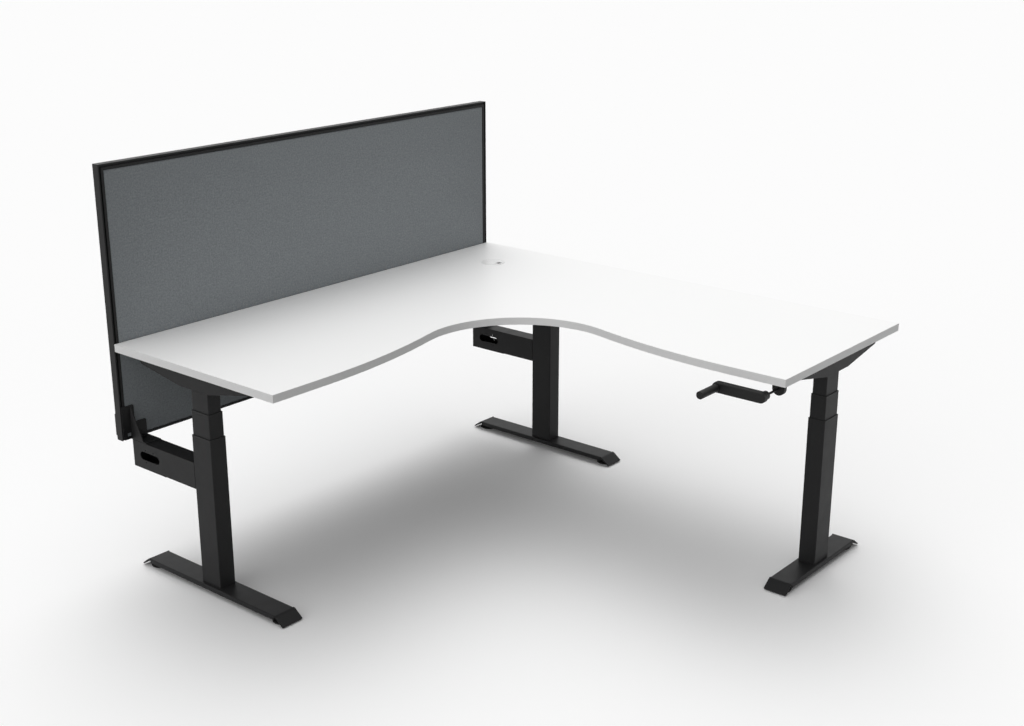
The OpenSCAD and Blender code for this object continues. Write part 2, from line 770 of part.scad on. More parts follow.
module crank_grip() color(black_plastic) at_corner()
    translate([-crank_outer_in - grip_l, crank_axis_y + crank_arm_l, axis_z]) along_x() {
        rim = grip_r / 8;
        rotate_extrude() polygon([
            [0, 0], [grip_r - rim, 0], [grip_r, rim], [grip_r, grip_l - rim - slide_play],
            [grip_r - rim, grip_l - slide_play], [grip_pin_r + slide_play, grip_l - slide_play],
            [grip_pin_r + slide_play, grip_wall_end], [0, grip_wall_end]
        ]);
    }

// Outline of the worktop, drawn in by e on every side, with its corner at the origin
module long_curve(run, length, e) {
    r = long_r(run);
    dx = run / (r + inner_r);
    touch = arc_centre + dx * (inner_r + e);
    touch_y = arc_centre - (r + arc_rise) / (r + inner_r) * (inner_r + e);
    intersection() {
        translate([-(arc_centre + run), r - wing_d]) circle(r - e, $fn = 720);
        translate([-(arc_centre + run), -wing_d]) square([arc_centre + run - touch, wing_d - waist_d / 2]);
    }
    polygon([
        [-e, -e], [e - length, -e], [e - length, e - wing_d], [-(arc_centre + run), e - wing_d],
        [-(arc_centre + run), -waist_d / 2], [-touch, -waist_d / 2], [-touch, -touch_y],
        [-arc_centre, -arc_centre], [-e, -arc_centre]
    ]);
}

module worktop_outline(e) difference() {
    union() {
        long_curve(arc_run, desk_w, e);
        rotate(-90) mirror([1, 0]) long_curve(arc_run_d, desk_d, e);
    }
    translate([-arc_centre, -arc_centre]) circle(inner_r + e, $fn = 360);
}

module worktop() color(white_board) difference() {
    at_corner() translate([0, 0, under_z]) linear_extrude(top_t) difference() {
        worktop_outline(edge_t);
        translate([-outlet_in, -outlet_in]) circle(outlet_r);
    }
    for (i = [0 : 2]) at_leg(i) bracket_screw_places() pilot_hole();
    at_corner() {
        cross_screw_places() pilot_hole();
        return_screw_places() pilot_hole();
        translate([-block_near - block_l, crank_axis_y, 0]) block_screw_places() pilot_hole();
    }
}

module pilot_hole() translate([0, 0, -over])
    cylinder(r = wood_screw_r + seat_play, h = wood_screw_l + turn_play + over);

module edge_band() color(band_white) at_corner() translate([0, 0, under_z]) linear_extrude(top_t) difference() {
    worktop_outline(0);
    worktop_outline(edge_t);
}

// Wood screw, its head under a sheet of thickness t
module wood_screw(t) {
    translate([0, 0, -t - wood_head_h]) cylinder(r = wood_head_r, h = wood_head_h);
    translate([0, 0, -t]) cylinder(r = wood_screw_r, h = t + wood_screw_l);
}

module frame_screws() color(plain_steel) {
    for (i = [0 : 2]) at_leg(i) bracket_screw_places() wood_screw(bracket_t);
    at_corner() {
        cross_screw_places() wood_screw(beam_t);
        return_screw_places() wood_screw(beam_t);
        translate([-block_near - block_l, crank_axis_y, 0]) block_screw_places() wood_screw(block_base_t);
    }
}

// Cable outlet: a flanged sleeve in the worktop and a cap with a notch that turns in it
module outlet_sleeve() color(cap_white) at_corner() translate([-outlet_in, -outlet_in, 0]) difference() {
    union() {
        translate([0, 0, under_z]) cylinder(r = outlet_r - slide_play, h = top_t);
        translate([0, 0, desk_h])
            cylinder(r1 = outlet_flange_r, r2 = outlet_flange_r - sleeve_flange_t / 2, h = sleeve_flange_t);
    }
    translate([0, 0, under_z - over]) cylinder(r = sleeve_inner_r - sleeve_wall, h = top_t + 2 * over);
    translate([0, 0, desk_h + sleeve_flange_t - cap_t]) cylinder(r = sleeve_inner_r, h = cap_t + over);
}

module outlet_cap() color(cap_white) at_corner()
    translate([-outlet_in, -outlet_in, desk_h + sleeve_flange_t - cap_t]) difference() {
        union() {
            cylinder(r = sleeve_inner_r - slide_play, h = cap_t);
            translate([0, 0, -cap_skirt_h]) cylinder(r = sleeve_inner_r - sleeve_wall - slide_play, h = cap_skirt_h);
        }
        translate([0, 0, -cap_skirt_h - over])
            cylinder(r = sleeve_inner_r - sleeve_wall - slide_play - cap_skirt_t, h = cap_skirt_h + over);
        translate([-notch_w / 2, -sleeve_inner_r - over, -cap_skirt_h - over])
            cube([notch_w, notch_d + over, cap_skirt_h + cap_t + 2 * over]);
    }

// Screen frame: aluminium section with a shadow groove on both faces and a slot for the board.
// x runs inwards from the outer edge, y from the front face to the back face.
module frame_section() difference() {
    square([frame_face, screen_t]);
    for (y = [-over, screen_t - groove_d]) translate([frame_skin, y]) square([groove_w, groove_d + over]);
    translate([frame_face - frame_slot_d, (screen_t - frame_slot_w) / 2])
        square([frame_slot_d + over, frame_slot_w]);
    translate([frame_skin, groove_d + frame_web]) square([groove_w, screen_t - 2 * (groove_d + frame_web)]);
}

// A bar of the frame along +X, its inner side up. Its far end is cut at 45 degrees for a mitred
// corner, and its near end starts cut_in further along on the inner side.
module frame_bar(length, cut_in) intersection() {
    rotate([90, 0, 90]) linear_extrude(length) rotate(90) mirror([0, 1]) frame_section();
    translate([0, screen_t + over, 0]) rotate([90, 0, 0]) linear_extrude(screen_t + 2 * over)
        polygon([[0, 0], [length, 0], [length - frame_face, frame_face], [cut_in, frame_face]]);
}

// The posts are mitred at the top and run down past the bottom rail with square ends
module screen_post(side) {
    color(black_steel) at_corner() translate([side * (-screen_w), 0, 0]) mirror([side, 0, 0]) difference() {
        translate([0, screen_face_y, screen_bottom]) rotate([0, -90, 0]) frame_bar(screen_top - screen_bottom, 0);
        for (s = plate_screws) translate([-plate_screw_in, screen_face_y - over, arm_top + s[0]]) along_y()
            cylinder(r = plate_screw_r + seat_play, h = s[1] + 2 * over);
    }
}

module screen_rail_top() color(black_steel) at_corner()
    translate([-screen_w, screen_face_y, screen_top]) mirror([0, 0, 1]) frame_bar(screen_w, frame_face);

// The bottom rail is a low bar between the posts, with a slot for the board
module screen_rail_bottom() {
    length = screen_w - 2 * frame_face;
    color(black_steel) at_corner() translate([frame_face - screen_w, screen_face_y, screen_bottom]) difference() {
        cube([length, screen_t, low_rail_h]);
        translate([-over, (screen_t - frame_slot_w) / 2, low_rail_h - low_slot_d])
            cube([length + 2 * over, frame_slot_w, low_slot_d + over]);
    }
}

module screen_board() {
    in = frame_face - frame_slot_d + seat_play;
    low = low_rail_h - low_slot_d + seat_play;
    color(cloth_grey) at_corner()
        translate([in - screen_w, screen_face_y + (screen_t - board_t) / 2, screen_bottom + low])
            cube([screen_w - 2 * in, board_t, screen_up + screen_down - in - low]);
}

module screen_fabric(y) {
    in = frame_face + seat_play;
    low = low_rail_h + seat_play;
    color(cloth_grey) at_corner() translate([in - screen_w, y, screen_bottom + low])
        cube([screen_w - 2 * in, fabric_t, screen_up + screen_down - in - low]);
}

// Screen arms: box section with a cable slot and four small holes through both sides
module arm_slot() {
    straight = slot_l / 2 - slot_h / 2;
    translate([-outer_w / 2 - over, -arm_back - slot_back, -arm_h / 2]) along_x() {
        for (end = [-1, 1]) translate([0, end * straight, 0]) cylinder(r = slot_h / 2, h = outer_w + 2 * over);
        translate([-slot_h / 2, -straight, 0]) cube([slot_h, 2 * straight, outer_w + 2 * over]);
        for (sy = [-1, 1], sz = [-1, 1]) translate([sz * arm_hole_z / 2, sy * arm_hole_y / 2, 0])
            cylinder(r = arm_hole_r, h = outer_w + 2 * over);
    }
}

module arm(i) {
    len = leg_back - outer_l / 2;
    color(black_steel) at_arm(i) difference() {
        union() {
            translate([-outer_w / 2, -len, -arm_h]) cube([outer_w, len - arm_back, arm_h]);
            translate([-outer_w / 2, -arm_back - sole_l, -arm_h - sole_t]) cube([outer_w, sole_l, sole_t]);
        }
        translate([arm_wall - outer_w / 2, -len - over, arm_wall - arm_h])
            cube([outer_w - 2 * arm_wall, len - arm_back - arm_wall + over, arm_h - 2 * arm_wall]);
        arm_slot();
        base_bolt_places() translate([0, 0, -arm_wall - over])
            cylinder(r = base_bolt_r + seat_play, h = arm_wall + 2 * over);
    }
}

module base_bolt_places() for (y = [base_l * 0.3, base_l * 0.75])
    translate([outer_w / 8, -y, 0]) children();

// Screen brackets: a stepped upright plate on the screen's face, a foot on the arm and a gusset
module plate_step(x0, x1, z1) {
    r = plate_corner_r;
    translate([x0, 0]) square([x1 - x0, z1 - r]);
    translate([x0, 0]) square([x1 - x0 - r, z1]);
    translate([x1 - r, z1 - r]) circle(r);
}

module screen_bracket(i) {
    end = -leg_inset;
    face = screen_face_y;
    color(black_steel) at_arm(i) difference() {
        union() {
            translate([0, face, 0]) rotate([90, 0, 0]) linear_extrude(plate_t) difference() {
                union() {
                    plate_step(end + plate_end_in, end + plate_tall_in, plate_tall);
                    plate_step(-outer_w / 2, outer_w / 2, plate_low);
                }
                translate([end, -over]) square([leg_inset - outer_w / 2, plate_foot_z + over]);
                translate([-outer_w / 2 - window_w, window_z]) square([window_w, window_h]);
            }
            translate([base_in - outer_w / 2, face - base_l, 0]) cube([outer_w - 2 * base_in, base_l, plate_t]);
            translate([base_in - outer_w / 2, 0, 0]) rotate([90, 0, 90]) linear_extrude(plate_t)
                polygon([
                    [face, 0], [face - web_l, 0], [face - web_l, plate_t], [face - plate_t, web_top], [face, web_top]
                ]);
        }
        for (s = plate_screws)
            translate([end + plate_screw_in, face - plate_t - over, s[0]]) along_y()
                cylinder(r = plate_screw_r + seat_play, h = plate_t + 2 * over);
        base_bolt_places() translate([0, 0, -over]) cylinder(r = base_bolt_r + seat_play, h = plate_t + 2 * over);
    }
}

module screen_backplates() color(black_steel) for (i = [0, 1]) at_arm(i)
    translate([-leg_inset, screen_face_y + screen_t, 0]) difference() {
        translate([backplate_end_in, 0, backplate_low])
            cube([plate_tall_in - backplate_end_in, backplate_t, backplate_high - backplate_low]);
        translate([plate_screw_in, -over, plate_screw_low]) along_y()
            cylinder(r = plate_screw_r + seat_play, h = backplate_t + 2 * over);
    }

module screen_screws() color(plain_steel) for (i = [0, 1]) at_arm(i) {
    for (s = plate_screws) translate([plate_screw_in - leg_inset, screen_face_y - plate_t, s[0]]) {
        along_y() cylinder(r = plate_screw_r, h = plate_t + s[1]);
        translate([0, -plate_screw_head_h, 0]) along_y()
            cylinder(r = plate_screw_head_r, h = plate_screw_head_h);
    }
    base_bolt_places() {
        translate([0, 0, plate_t]) cylinder(r = base_bolt_head_r, h = base_bolt_head_h);
        translate([0, 0, -arm_wall]) cylinder(r = base_bolt_r, h = arm_wall + plate_t);
    }
}

foot(0);  // foot_left
foot(1);  // foot_corner
foot(2);  // foot_return
outer_tube(0);  // outer_tube_left
outer_tube(1);  // outer_tube_corner
outer_tube(2);  // outer_tube_return
outer_collars();
foot_bolts();
fixed_screws();
glide(0, 1);  // glide_left_rear
glide(0, -1);  // glide_left_front
glide(1, 1);  // glide_corner_rear
glide(1, -1);  // glide_corner_front
glide(2, 1);  // glide_return_rear
glide(2, -1);  // glide_return_front
arm(0);  // arm_left
arm(1);  // arm_corner
screen_bracket(0);  // screen_bracket_left
screen_bracket(1);  // screen_bracket_corner
screen_backplates();
screen_screws();
screen_post(1);  // screen_post_left
screen_post(0);  // screen_post_right
screen_rail_top();
screen_rail_bottom();
screen_board();
screen_fabric(screen_face_y + fabric_recess);  // screen_fabric_front
screen_fabric(screen_face_y + screen_t - fabric_recess - fabric_t);  // screen_fabric_back
middle_tube(0);  // middle_tube_left
middle_tube(1);  // middle_tube_corner
middle_tube(2);  // middle_tube_return
middle_collar(0);  // middle_collar_left
middle_collar(1);  // middle_collar_corner
middle_collar(2);  // middle_collar_return
spindle(0);  // spindle_left
spindle(1);  // spindle_corner
spindle(2);  // spindle_return
inner_tube(0);  // inner_tube_left
inner_tube(1);  // inner_tube_corner
inner_tube(2);  // inner_tube_return
bracket(0);  // bracket_left
bracket(1);  // bracket_corner
bracket(2);  // bracket_return
beam_cross();
beam_return();
gearboxes();
frame_screws();
worktop();
edge_band();
outlet_sleeve();
outlet_cap();
drive_rod(0);  // drive_rod_left
drive_rod(1);  // drive_rod_corner
drive_rod(2);  // drive_rod_return
cross_shaft();
return_shaft();
crank_bearing();
crank_shaft();
crank_arm();
crank_grip();
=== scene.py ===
# %% [markdown]
# A corner workstation: an L-shaped worktop on three telescopic legs that a hand crank raises, and a
# fabric screen on two arms. The packed CAD model holds every solid at its true size and place.
# Blender could model all of it again, or only paint it. This lesson does what each piece needs. Good
# solids get a finish, sharp ones a copy with broken edges, and folded, turned, threaded or woven
# pieces are made anew from sizes that are measured on the frame.

# %% Load the frame
import json
import math
import bmesh
import bpy
from mathutils import Matrix, Vector
from mathutils.bvhtree import BVHTree


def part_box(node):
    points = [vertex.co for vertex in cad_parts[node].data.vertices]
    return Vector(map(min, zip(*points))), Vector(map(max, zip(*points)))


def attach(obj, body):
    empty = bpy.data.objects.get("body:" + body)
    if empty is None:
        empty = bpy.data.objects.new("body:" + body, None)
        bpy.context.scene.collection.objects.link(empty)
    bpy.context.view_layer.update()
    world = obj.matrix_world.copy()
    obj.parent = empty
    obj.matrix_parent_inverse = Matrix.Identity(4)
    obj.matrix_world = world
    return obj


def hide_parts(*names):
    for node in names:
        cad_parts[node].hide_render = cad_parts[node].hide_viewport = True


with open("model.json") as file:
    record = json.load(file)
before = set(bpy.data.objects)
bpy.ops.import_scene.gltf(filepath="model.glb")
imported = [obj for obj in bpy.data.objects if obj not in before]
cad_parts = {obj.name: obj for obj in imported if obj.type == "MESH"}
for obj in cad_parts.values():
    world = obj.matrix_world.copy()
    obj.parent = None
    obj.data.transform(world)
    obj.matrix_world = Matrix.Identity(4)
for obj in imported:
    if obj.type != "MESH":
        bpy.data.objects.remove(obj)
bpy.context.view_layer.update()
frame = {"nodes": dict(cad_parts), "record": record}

MM = 0.001
LEGS = ("left", "corner", "return")
for plain in list(bpy.data.materials):
    bpy.data.materials.remove(plain)

# %% [markdown]
# The picture looks down on the desk from its front left. The lens, the place and the turn were found
# by fitting the worktop's corners, the screen, the columns and the feet to their places in it. A
# tracking constraint would be easier to write, but fixed angles keep the horizon exactly level.

# %% Camera
camera = bpy.data.objects.new("camera", bpy.data.cameras.new("camera"))
camera.location = (-3.3851, -2.8190, 2.1206)
camera.rotation_euler = (math.radians(71.73), 0, math.radians(-50.22))
camera.data.lens = 50
camera.data.sensor_width = 36
camera.data.clip_end = 300
bpy.context.scene.collection.objects.link(camera)
bpy.context.scene.camera = camera
bpy.context.scene.view_settings.view_transform = "Standard"
print("camera is", round(camera.location.length, 2), "m from the origin")

# %% [markdown]
# The picture's shadows fall towards the viewer and are very soft: a large light stands high behind
# the desk, a wider one hangs overhead, and two weak ones fill in from the left and the front. Area
# lamps could do it, but they show in gloss and have edges. Here the sky itself has four soft bright
# spots. Each is the cosine of the angle to its middle, raised to a power that sets how tight it is.
# Rays that the viewer sees, straight or in a reflection, get plain white instead.

# %% Sky
SKY_SPOTS = (    # name, elevation and azimuth in degrees, tightness, strength
    ("overhead", 90, 0, 8, 1.38),
    ("behind", 55, 45, 10, 3.38),
    ("left", 15, 180, 3, 1.30),
    ("front", 15, 250, 3, 0.32),
)


def seen_rays(tree):
    """A socket that is 1 for rays the viewer sees directly, in a gloss or through glass, else 0."""
    light_path = tree.nodes.new("ShaderNodeLightPath")
    seen = light_path.outputs["Is Camera Ray"]
    for kind in ("Is Glossy Ray", "Is Transmission Ray"):
        either = tree.nodes.new("ShaderNodeMath")
        either.operation = "MAXIMUM"
        tree.links.new(seen, either.inputs[0])
        tree.links.new(light_path.outputs[kind], either.inputs[1])
        seen = either.outputs[0]
    return seen


def sky_spot(tree, direction, elevation, azimuth, tightness, strength):
    """The brightness of one soft spot: strength times the cosine to its middle, to a power."""
    up, round_z = math.radians(elevation), math.radians(azimuth)
    middle = (math.cos(up) * math.cos(round_z), math.cos(up) * math.sin(round_z), math.sin(up))
    cosine = tree.nodes.new("ShaderNodeVectorMath")
    cosine.operation = "DOT_PRODUCT"
    cosine.inputs[1].default_value = middle
    tree.links.new(direction, cosine.inputs[0])
    value = cosine.outputs["Value"]
    for operation, number in (("MAXIMUM", 0), ("POWER", tightness), ("MULTIPLY", strength)):
        step = tree.nodes.new("ShaderNodeMath")
        step.operation = operation
        step.inputs[1].default_value = number
        tree.links.new(value, step.inputs[0])
        value = step.outputs[0]
    return value


def make_sky():
    world = bpy.data.worlds.new("studio")
    world.use_nodes = True
    tree = world.node_tree
    direction = tree.nodes.new("ShaderNodeTexCoord").outputs["Generated"]
    level = None
    for name, *numbers in SKY_SPOTS:
        spot = sky_spot(tree, direction, *numbers)
        if level is None:
            level = spot
            continue
        both = tree.nodes.new("ShaderNodeMath")
        both.operation = "ADD"
        tree.links.new(level, both.inputs[0])
        tree.links.new(spot, both.inputs[1])
        level = both.outputs[0]
    choose = tree.nodes.new("ShaderNodeMix")
    choose.inputs["B"].default_value = 1
    tree.links.new(seen_rays(tree), choose.inputs["Factor"])
    tree.links.new(level, choose.inputs["A"])
    tree.nodes["Background"].inputs["Color"].default_value = (1, 1, 1, 1)
    tree.links.new(choose.outputs["Result"], tree.nodes["Background"].inputs["Strength"])
    bpy.context.scene.world = world


make_sky()
print("sky with spots", *[spot[0] for spot in SKY_SPOTS])

# %% [markdown]
# The floor is a plain pale sheet that keeps the soft shadow. A pure white floor would throw much of
# its light back up under the desk, where the real picture is dark. So rays that the viewer doesn't
# see meet a greyer floor: it looks white, and bounces little.

# %% Floor
FLOOR_HALF = 60
FLOOR_SEEN = 1.0
FLOOR_BOUNCE = 0.25


def make_floor():
    mesh = bpy.data.meshes.new("floor")
    corners = [(x * FLOOR_HALF, y * FLOOR_HALF, 0) for x, y in ((-1, -1), (1, -1), (1, 1), (-1, 1))]
    mesh.from_pydata(corners, [], [(0, 1, 2, 3)])
    floor = bpy.data.objects.new("floor", mesh)
    bpy.context.scene.collection.objects.link(floor)
    material = bpy.data.materials.new("floor_white")
    material.use_nodes = True
    tree = material.node_tree
    shader = tree.nodes["Principled BSDF"]
    shader.inputs["Roughness"].default_value = 1
    shader.inputs["Specular IOR Level"].default_value = 0
    shade = tree.nodes.new("ShaderNodeMix")
    shade.data_type = "RGBA"
    shade.inputs["A"].default_value = (FLOOR_BOUNCE, FLOOR_BOUNCE, FLOOR_BOUNCE, 1)
    shade.inputs["B"].default_value = (FLOOR_SEEN, FLOOR_SEEN, FLOOR_SEEN, 1)
    tree.links.new(seen_rays(tree), shade.inputs["Factor"])
    tree.links.new(shade.outputs["Result"], shader.inputs["Base Color"])
    mesh.materials.append(material)


make_floor()
print("the floor is", 2 * FLOOR_HALF, "m wide")

# %% [markdown]
# Every finish starts from the same shader, and differs in what feeds it. One small class holds the
# words that all of them use: a grain of some size, a colour or a gloss that follows it, and a height
# that raises the surface. Places come from each piece's own coordinates in metres, so a grain keeps
# its real size and moves with its piece.

# %% Words for finishes
NOISE_LOW, NOISE_HIGH = 0.3, 0.7    # nearly all of a noise's values lie between these


class Finish:
    """A material whose nodes are added by short calls."""

    def __init__(self, name, colour, roughness, metallic=0.0, specular=0.5):
        self.material = bpy.data.materials.new(name)
        self.material.use_nodes = True
        self.tree = self.material.node_tree
        self.shader = self.tree.nodes["Principled BSDF"]
        self.place = self.add("ShaderNodeTexCoord").outputs["Object"]
        self.set(Roughness=roughness, Metallic=metallic)
        self.shader.inputs["Base Color"].default_value = (*colour, 1)
        self.shader.inputs["Specular IOR Level"].default_value = specular

    def add(self, kind, **settings):
        node = self.tree.nodes.new(kind)
        for key, value in settings.items():
            setattr(node, key, value)
        return node

    def set(self, **values):
        for key, value in values.items():
            self.shader.inputs[key.replace("_", " ")].default_value = value

    def link(self, output, socket):
        self.tree.links.new(output, socket)

    def math(self, operation, a, b):
        """One sum: a and b are sockets or numbers."""
        node = self.add("ShaderNodeMath", operation=operation)
        for socket, value in zip(node.inputs, (a, b)):
            if isinstance(value, (int, float)):
                socket.default_value = value
            else:
                self.link(value, socket)
        return node.outputs[0]

    def grain(self, size, stretch=(1, 1, 1), detail=2.0):
        """Noise with spots about size metres wide, drawn out along x, y and z by stretch."""
        mapping = self.add("ShaderNodeMapping")
        mapping.inputs["Scale"].default_value = [1 / (size * s) for s in stretch]
        noise = self.add("ShaderNodeTexNoise")
        noise.inputs["Scale"].default_value = 1
        noise.inputs["Detail"].default_value = detail
        self.link(self.place, mapping.inputs["Vector"])
        self.link(mapping.outputs["Vector"], noise.inputs["Vector"])
        return noise.outputs["Fac"]

    def between(self, factor, low, high):
        """A number that runs from low to high over the middle of the factor's range."""
        node = self.add("ShaderNodeMapRange")
        ends = {"From Min": NOISE_LOW, "From Max": NOISE_HIGH, "To Min": low, "To Max": high}
        for key, value in ends.items():
            node.inputs[key].default_value = value
        self.link(factor, node.inputs["Value"])
        return node.outputs["Result"]

    def gloss(self, factor, low, high):
        self.link(self.between(factor, low, high), self.shader.inputs["Roughness"])

    def mix(self, factor, low, high):
        """A colour between low and high, which are colours or sockets."""
        node = self.add("ShaderNodeMix", data_type="RGBA")
        self.link(self.between(factor, 0, 1), node.inputs["Factor"])
        for key, value in (("A", low), ("B", high)):
            if isinstance(value, tuple):
                node.inputs[key].default_value = (*value, 1)
            else:
                self.link(value, node.inputs[key])
        return node.outputs["Result"]

    def scaled(self, colour, amount):
        """A colour socket times a number socket."""
        node = self.add("ShaderNodeVectorMath", operation="SCALE")
        self.link(colour, node.inputs[0])
        self.link(amount, node.inputs["Scale"])
        return node.outputs["Vector"]

    def colour(self, socket):
        self.link(socket, self.shader.inputs["Base Color"])

    def raised(self, height, depth):
        """Bumps the surface by height, a socket from 0 to 1, times depth metres."""
        bump = self.add("ShaderNodeBump")
        bump.inputs["Strength"].default_value = 1
        bump.inputs["Distance"].default_value = depth
        self.link(height, bump.inputs["Height"])
        self.link(bump.outputs["Normal"], self.shader.inputs["Normal"])


print("a finish has", sum(callable(v) for v in vars(Finish).values()) - 1, "words")


# %% [markdown]
# The legs, feet, arms and brackets are powder coated: black plastic dust that was melted on. Close
# up it is a fine orange peel with duller pores, and it has hardly any wear. The bump carries the
# peel, and a second, larger grain lets the gloss drift a little from place to place.

# %% Powder coat
PEEL = 0.9 * MM
PEEL_DEPTH = 0.03 * MM
MELT_SPOT = 2.5 * MM
GLOSS_DRIFT = 40 * MM
PEEL_SHARE = 0.6    # of the change in gloss; the drift has the rest
COAT_SPECULAR = 0.17


def powder_coat(name, dark, light, rough):
    finish = Finish(name, dark, rough, specular=COAT_SPECULAR)
    peel = finish.grain(PEEL, detail=3)
    fine = finish.math("MULTIPLY", peel, PEEL_SHARE)
    wide = finish.math("MULTIPLY", finish.grain(GLOSS_DRIFT), 1 - PEEL_SHARE)
    finish.colour(finish.mix(finish.grain(MELT_SPOT), dark, light))
    finish.gloss(finish.math("ADD", fine, wide), rough - 0.05, rough + 0.08)
    finish.raised(peel, PEEL_DEPTH)
    return finish.material


coat_black = powder_coat("coat_black", (0.0165, 0.0165, 0.0170), (0.0200, 0.0200, 0.0205), 0.44)
frame_black = powder_coat("frame_black", (0.0150, 0.0150, 0.0155), (0.0182, 0.0182, 0.0187), 0.40)
steel_black = powder_coat("steel_black", (0.0140, 0.0140, 0.0145), (0.0200, 0.0200, 0.0205), 0.38)
print("black coats:", coat_black.name, frame_black.name, steel_black.name)


# %% [markdown]
# The worktop is chipboard under white melamine: a hard paper skin with a faint pearl texture from
# the press plate. Its edge band is the same white in plastic, a little greyer and smoother. A flat
# white would look like paper, so two grains break the tone by about one percent.

# %% White board, edge band and outlet plastic
TONE_SPOT = 3.5 * MM


def pressed_white(name, dark, light, rough, peel_size, peel_depth):
    finish = Finish(name, light, rough, specular=0.45)
    peel = finish.grain(peel_size, detail=4)
    finish.colour(finish.mix(finish.grain(TONE_SPOT, detail=3), dark, light))
    finish.gloss(peel, rough - 0.05, rough + 0.07)
    finish.raised(peel, peel_depth)
    return finish.material


board_white = pressed_white("board_white", (0.955, 0.955, 0.951), (0.975, 0.975, 0.971),
                            0.42, 1.2 * MM, 0.02 * MM)
band_white = pressed_white("band_white", (0.915, 0.915, 0.910), (0.936, 0.936, 0.931),
                           0.38, 2.0 * MM, 0.015 * MM)
cap_white = pressed_white("cap_white", (0.870, 0.870, 0.865), (0.895, 0.895, 0.890),
                          0.30, 0.7 * MM, 0.012 * MM)
print("whites:", board_white.name, band_white.name, cap_white.name)


# %% [markdown]
# Collars, glides, the bearing and the crank are moulded in black plastic. The mould was sparked, so
# the skin is a fine even grain, softer than paint, and handled parts are a bit glossier.

# %% Moulded black plastic
SPARK = 0.6 * MM
SPARK_DEPTH = 0.025 * MM
FLOW_SPOT = 4 * MM
FLOW_CHANGE = 0.15


def sparked_plastic(name, tone, rough):
    finish = Finish(name, (tone, tone, tone), rough, specular=0.25)
    grain = finish.grain(SPARK)
    low, high = tone * (1 - FLOW_CHANGE), tone * (1 + FLOW_CHANGE)
    finish.colour(finish.mix(finish.grain(FLOW_SPOT), (low, low, low), (high, high, high)))
    finish.gloss(grain, rough - 0.06, rough + 0.06)
    finish.raised(grain, SPARK_DEPTH)
    return finish.material


plastic_black = sparked_plastic("plastic_black", 0.0130, 0.48)
print("plastic:", plastic_black.name)


# %% [markdown]
# The screen's cloth is a plain weave of heathered yarn: every thread mixes lighter and darker fibres,
# so the colour changes along the thread. Two sine waves, one across the other, give the over and
# under of the weave. Long thin noise along x tints the weft, the same along z tints the warp, and
# the weave chooses which of them shows. Spots a few threads wide then lighten and darken the whole,
# which is all that shows from across a room. A little sheen stands for the fuzz.

# %% Woven cloth
THREAD = 1.1 * MM
WEAVE_DEPTH = 0.16 * MM
HEATHER = 5.5 * MM
HEATHER_DEPTH = 0.15
WANDER = 7 * MM
WANDER_TURN = 1.5    # how far a thread wanders aside, as an angle of its wave
FIBRE = 0.5 * MM
FIBRE_SHARE = 0.4
YARN_STRETCH = 14
YARN_DARK = (0.226, 0.245, 0.258)
YARN_LIGHT = (0.318, 0.341, 0.356)


def woven_cloth():
    finish = Finish("cloth_grey", YARN_DARK, 0.92, specular=0.15)
    wander = finish.math("MULTIPLY", finish.grain(WANDER), WANDER_TURN)
    axes = finish.add("ShaderNodeSeparateXYZ")
    finish.link(finish.place, axes.inputs[0])
    waves = []
    for axis in ("X", "Z"):
        along = finish.math("MULTIPLY", axes.outputs[axis], math.pi / THREAD)
        waves.append(finish.math("SINE", finish.math("ADD", along, wander), 0))
    weave = finish.math("ADD", finish.math("MULTIPLY", finish.math("MULTIPLY", *waves), 0.5), 0.5)
    weft = finish.mix(finish.grain(THREAD, stretch=(YARN_STRETCH, 1, 1)), YARN_DARK, YARN_LIGHT)
    warp = finish.mix(finish.grain(THREAD, stretch=(1, 1, YARN_STRETCH)), YARN_DARK, YARN_LIGHT)
    threads = finish.mix(weave, weft, warp)
    heather = finish.between(finish.grain(HEATHER, detail=2), 1 - HEATHER_DEPTH, 1 + HEATHER_DEPTH)
    finish.colour(finish.scaled(threads, heather))
    fuzz = finish.math("MULTIPLY", finish.grain(FIBRE), FIBRE_SHARE)
    finish.raised(finish.math("ADD", weave, fuzz), WEAVE_DEPTH)
    finish.set(Sheen_Weight=0.12, Sheen_Roughness=0.6)
    return finish.material


cloth_grey = woven_cloth()
print("cloth with", round(10 * MM / THREAD, 1), "threads in a centimetre")


# %% [markdown]
# Out of sight are the working parts: turned and drawn steel, grey castings and the raw board inside
# the screen. Turned steel has fine lines round its axis, which show as a gloss that differs along
# and across, so its grain is drawn out. Castings are rough and mottled, and the board is pale
# pressed fibres.

# %% Steel, castings and raw board
LATHE_LINE, LATHE_DEPTH = 0.5 * MM, 0.01 * MM
DRAWN_SPOT = 9 * MM
SAND, SAND_DEPTH = 1.5 * MM, 0.12 * MM
CAST_SPOT = 8 * MM
CHIP, CHIP_DEPTH = 1.2 * MM, 0.08 * MM


def turned_steel():
    finish = Finish("steel_plain", (0.56, 0.56, 0.57), 0.30, metallic=1)
    lines = finish.grain(LATHE_LINE, stretch=(8, 8, 1), detail=4)
    finish.colour(finish.mix(finish.grain(DRAWN_SPOT), (0.50, 0.50, 0.51), (0.60, 0.60, 0.61)))
    finish.gloss(lines, 0.24, 0.42)
    finish.raised(lines, LATHE_DEPTH)
    finish.set(Anisotropic=0.3)
    return finish.material


def rough_casting():
    finish = Finish("cast_grey", (0.25, 0.25, 0.26), 0.55, metallic=0.6)
    skin = finish.grain(SAND, detail=6)
    finish.colour(finish.mix(finish.grain(CAST_SPOT, detail=3), (0.20, 0.20, 0.21), (0.29, 0.29, 0.30)))
    finish.gloss(skin, 0.45, 0.65)
    finish.raised(skin, SAND_DEPTH)
    return finish.material


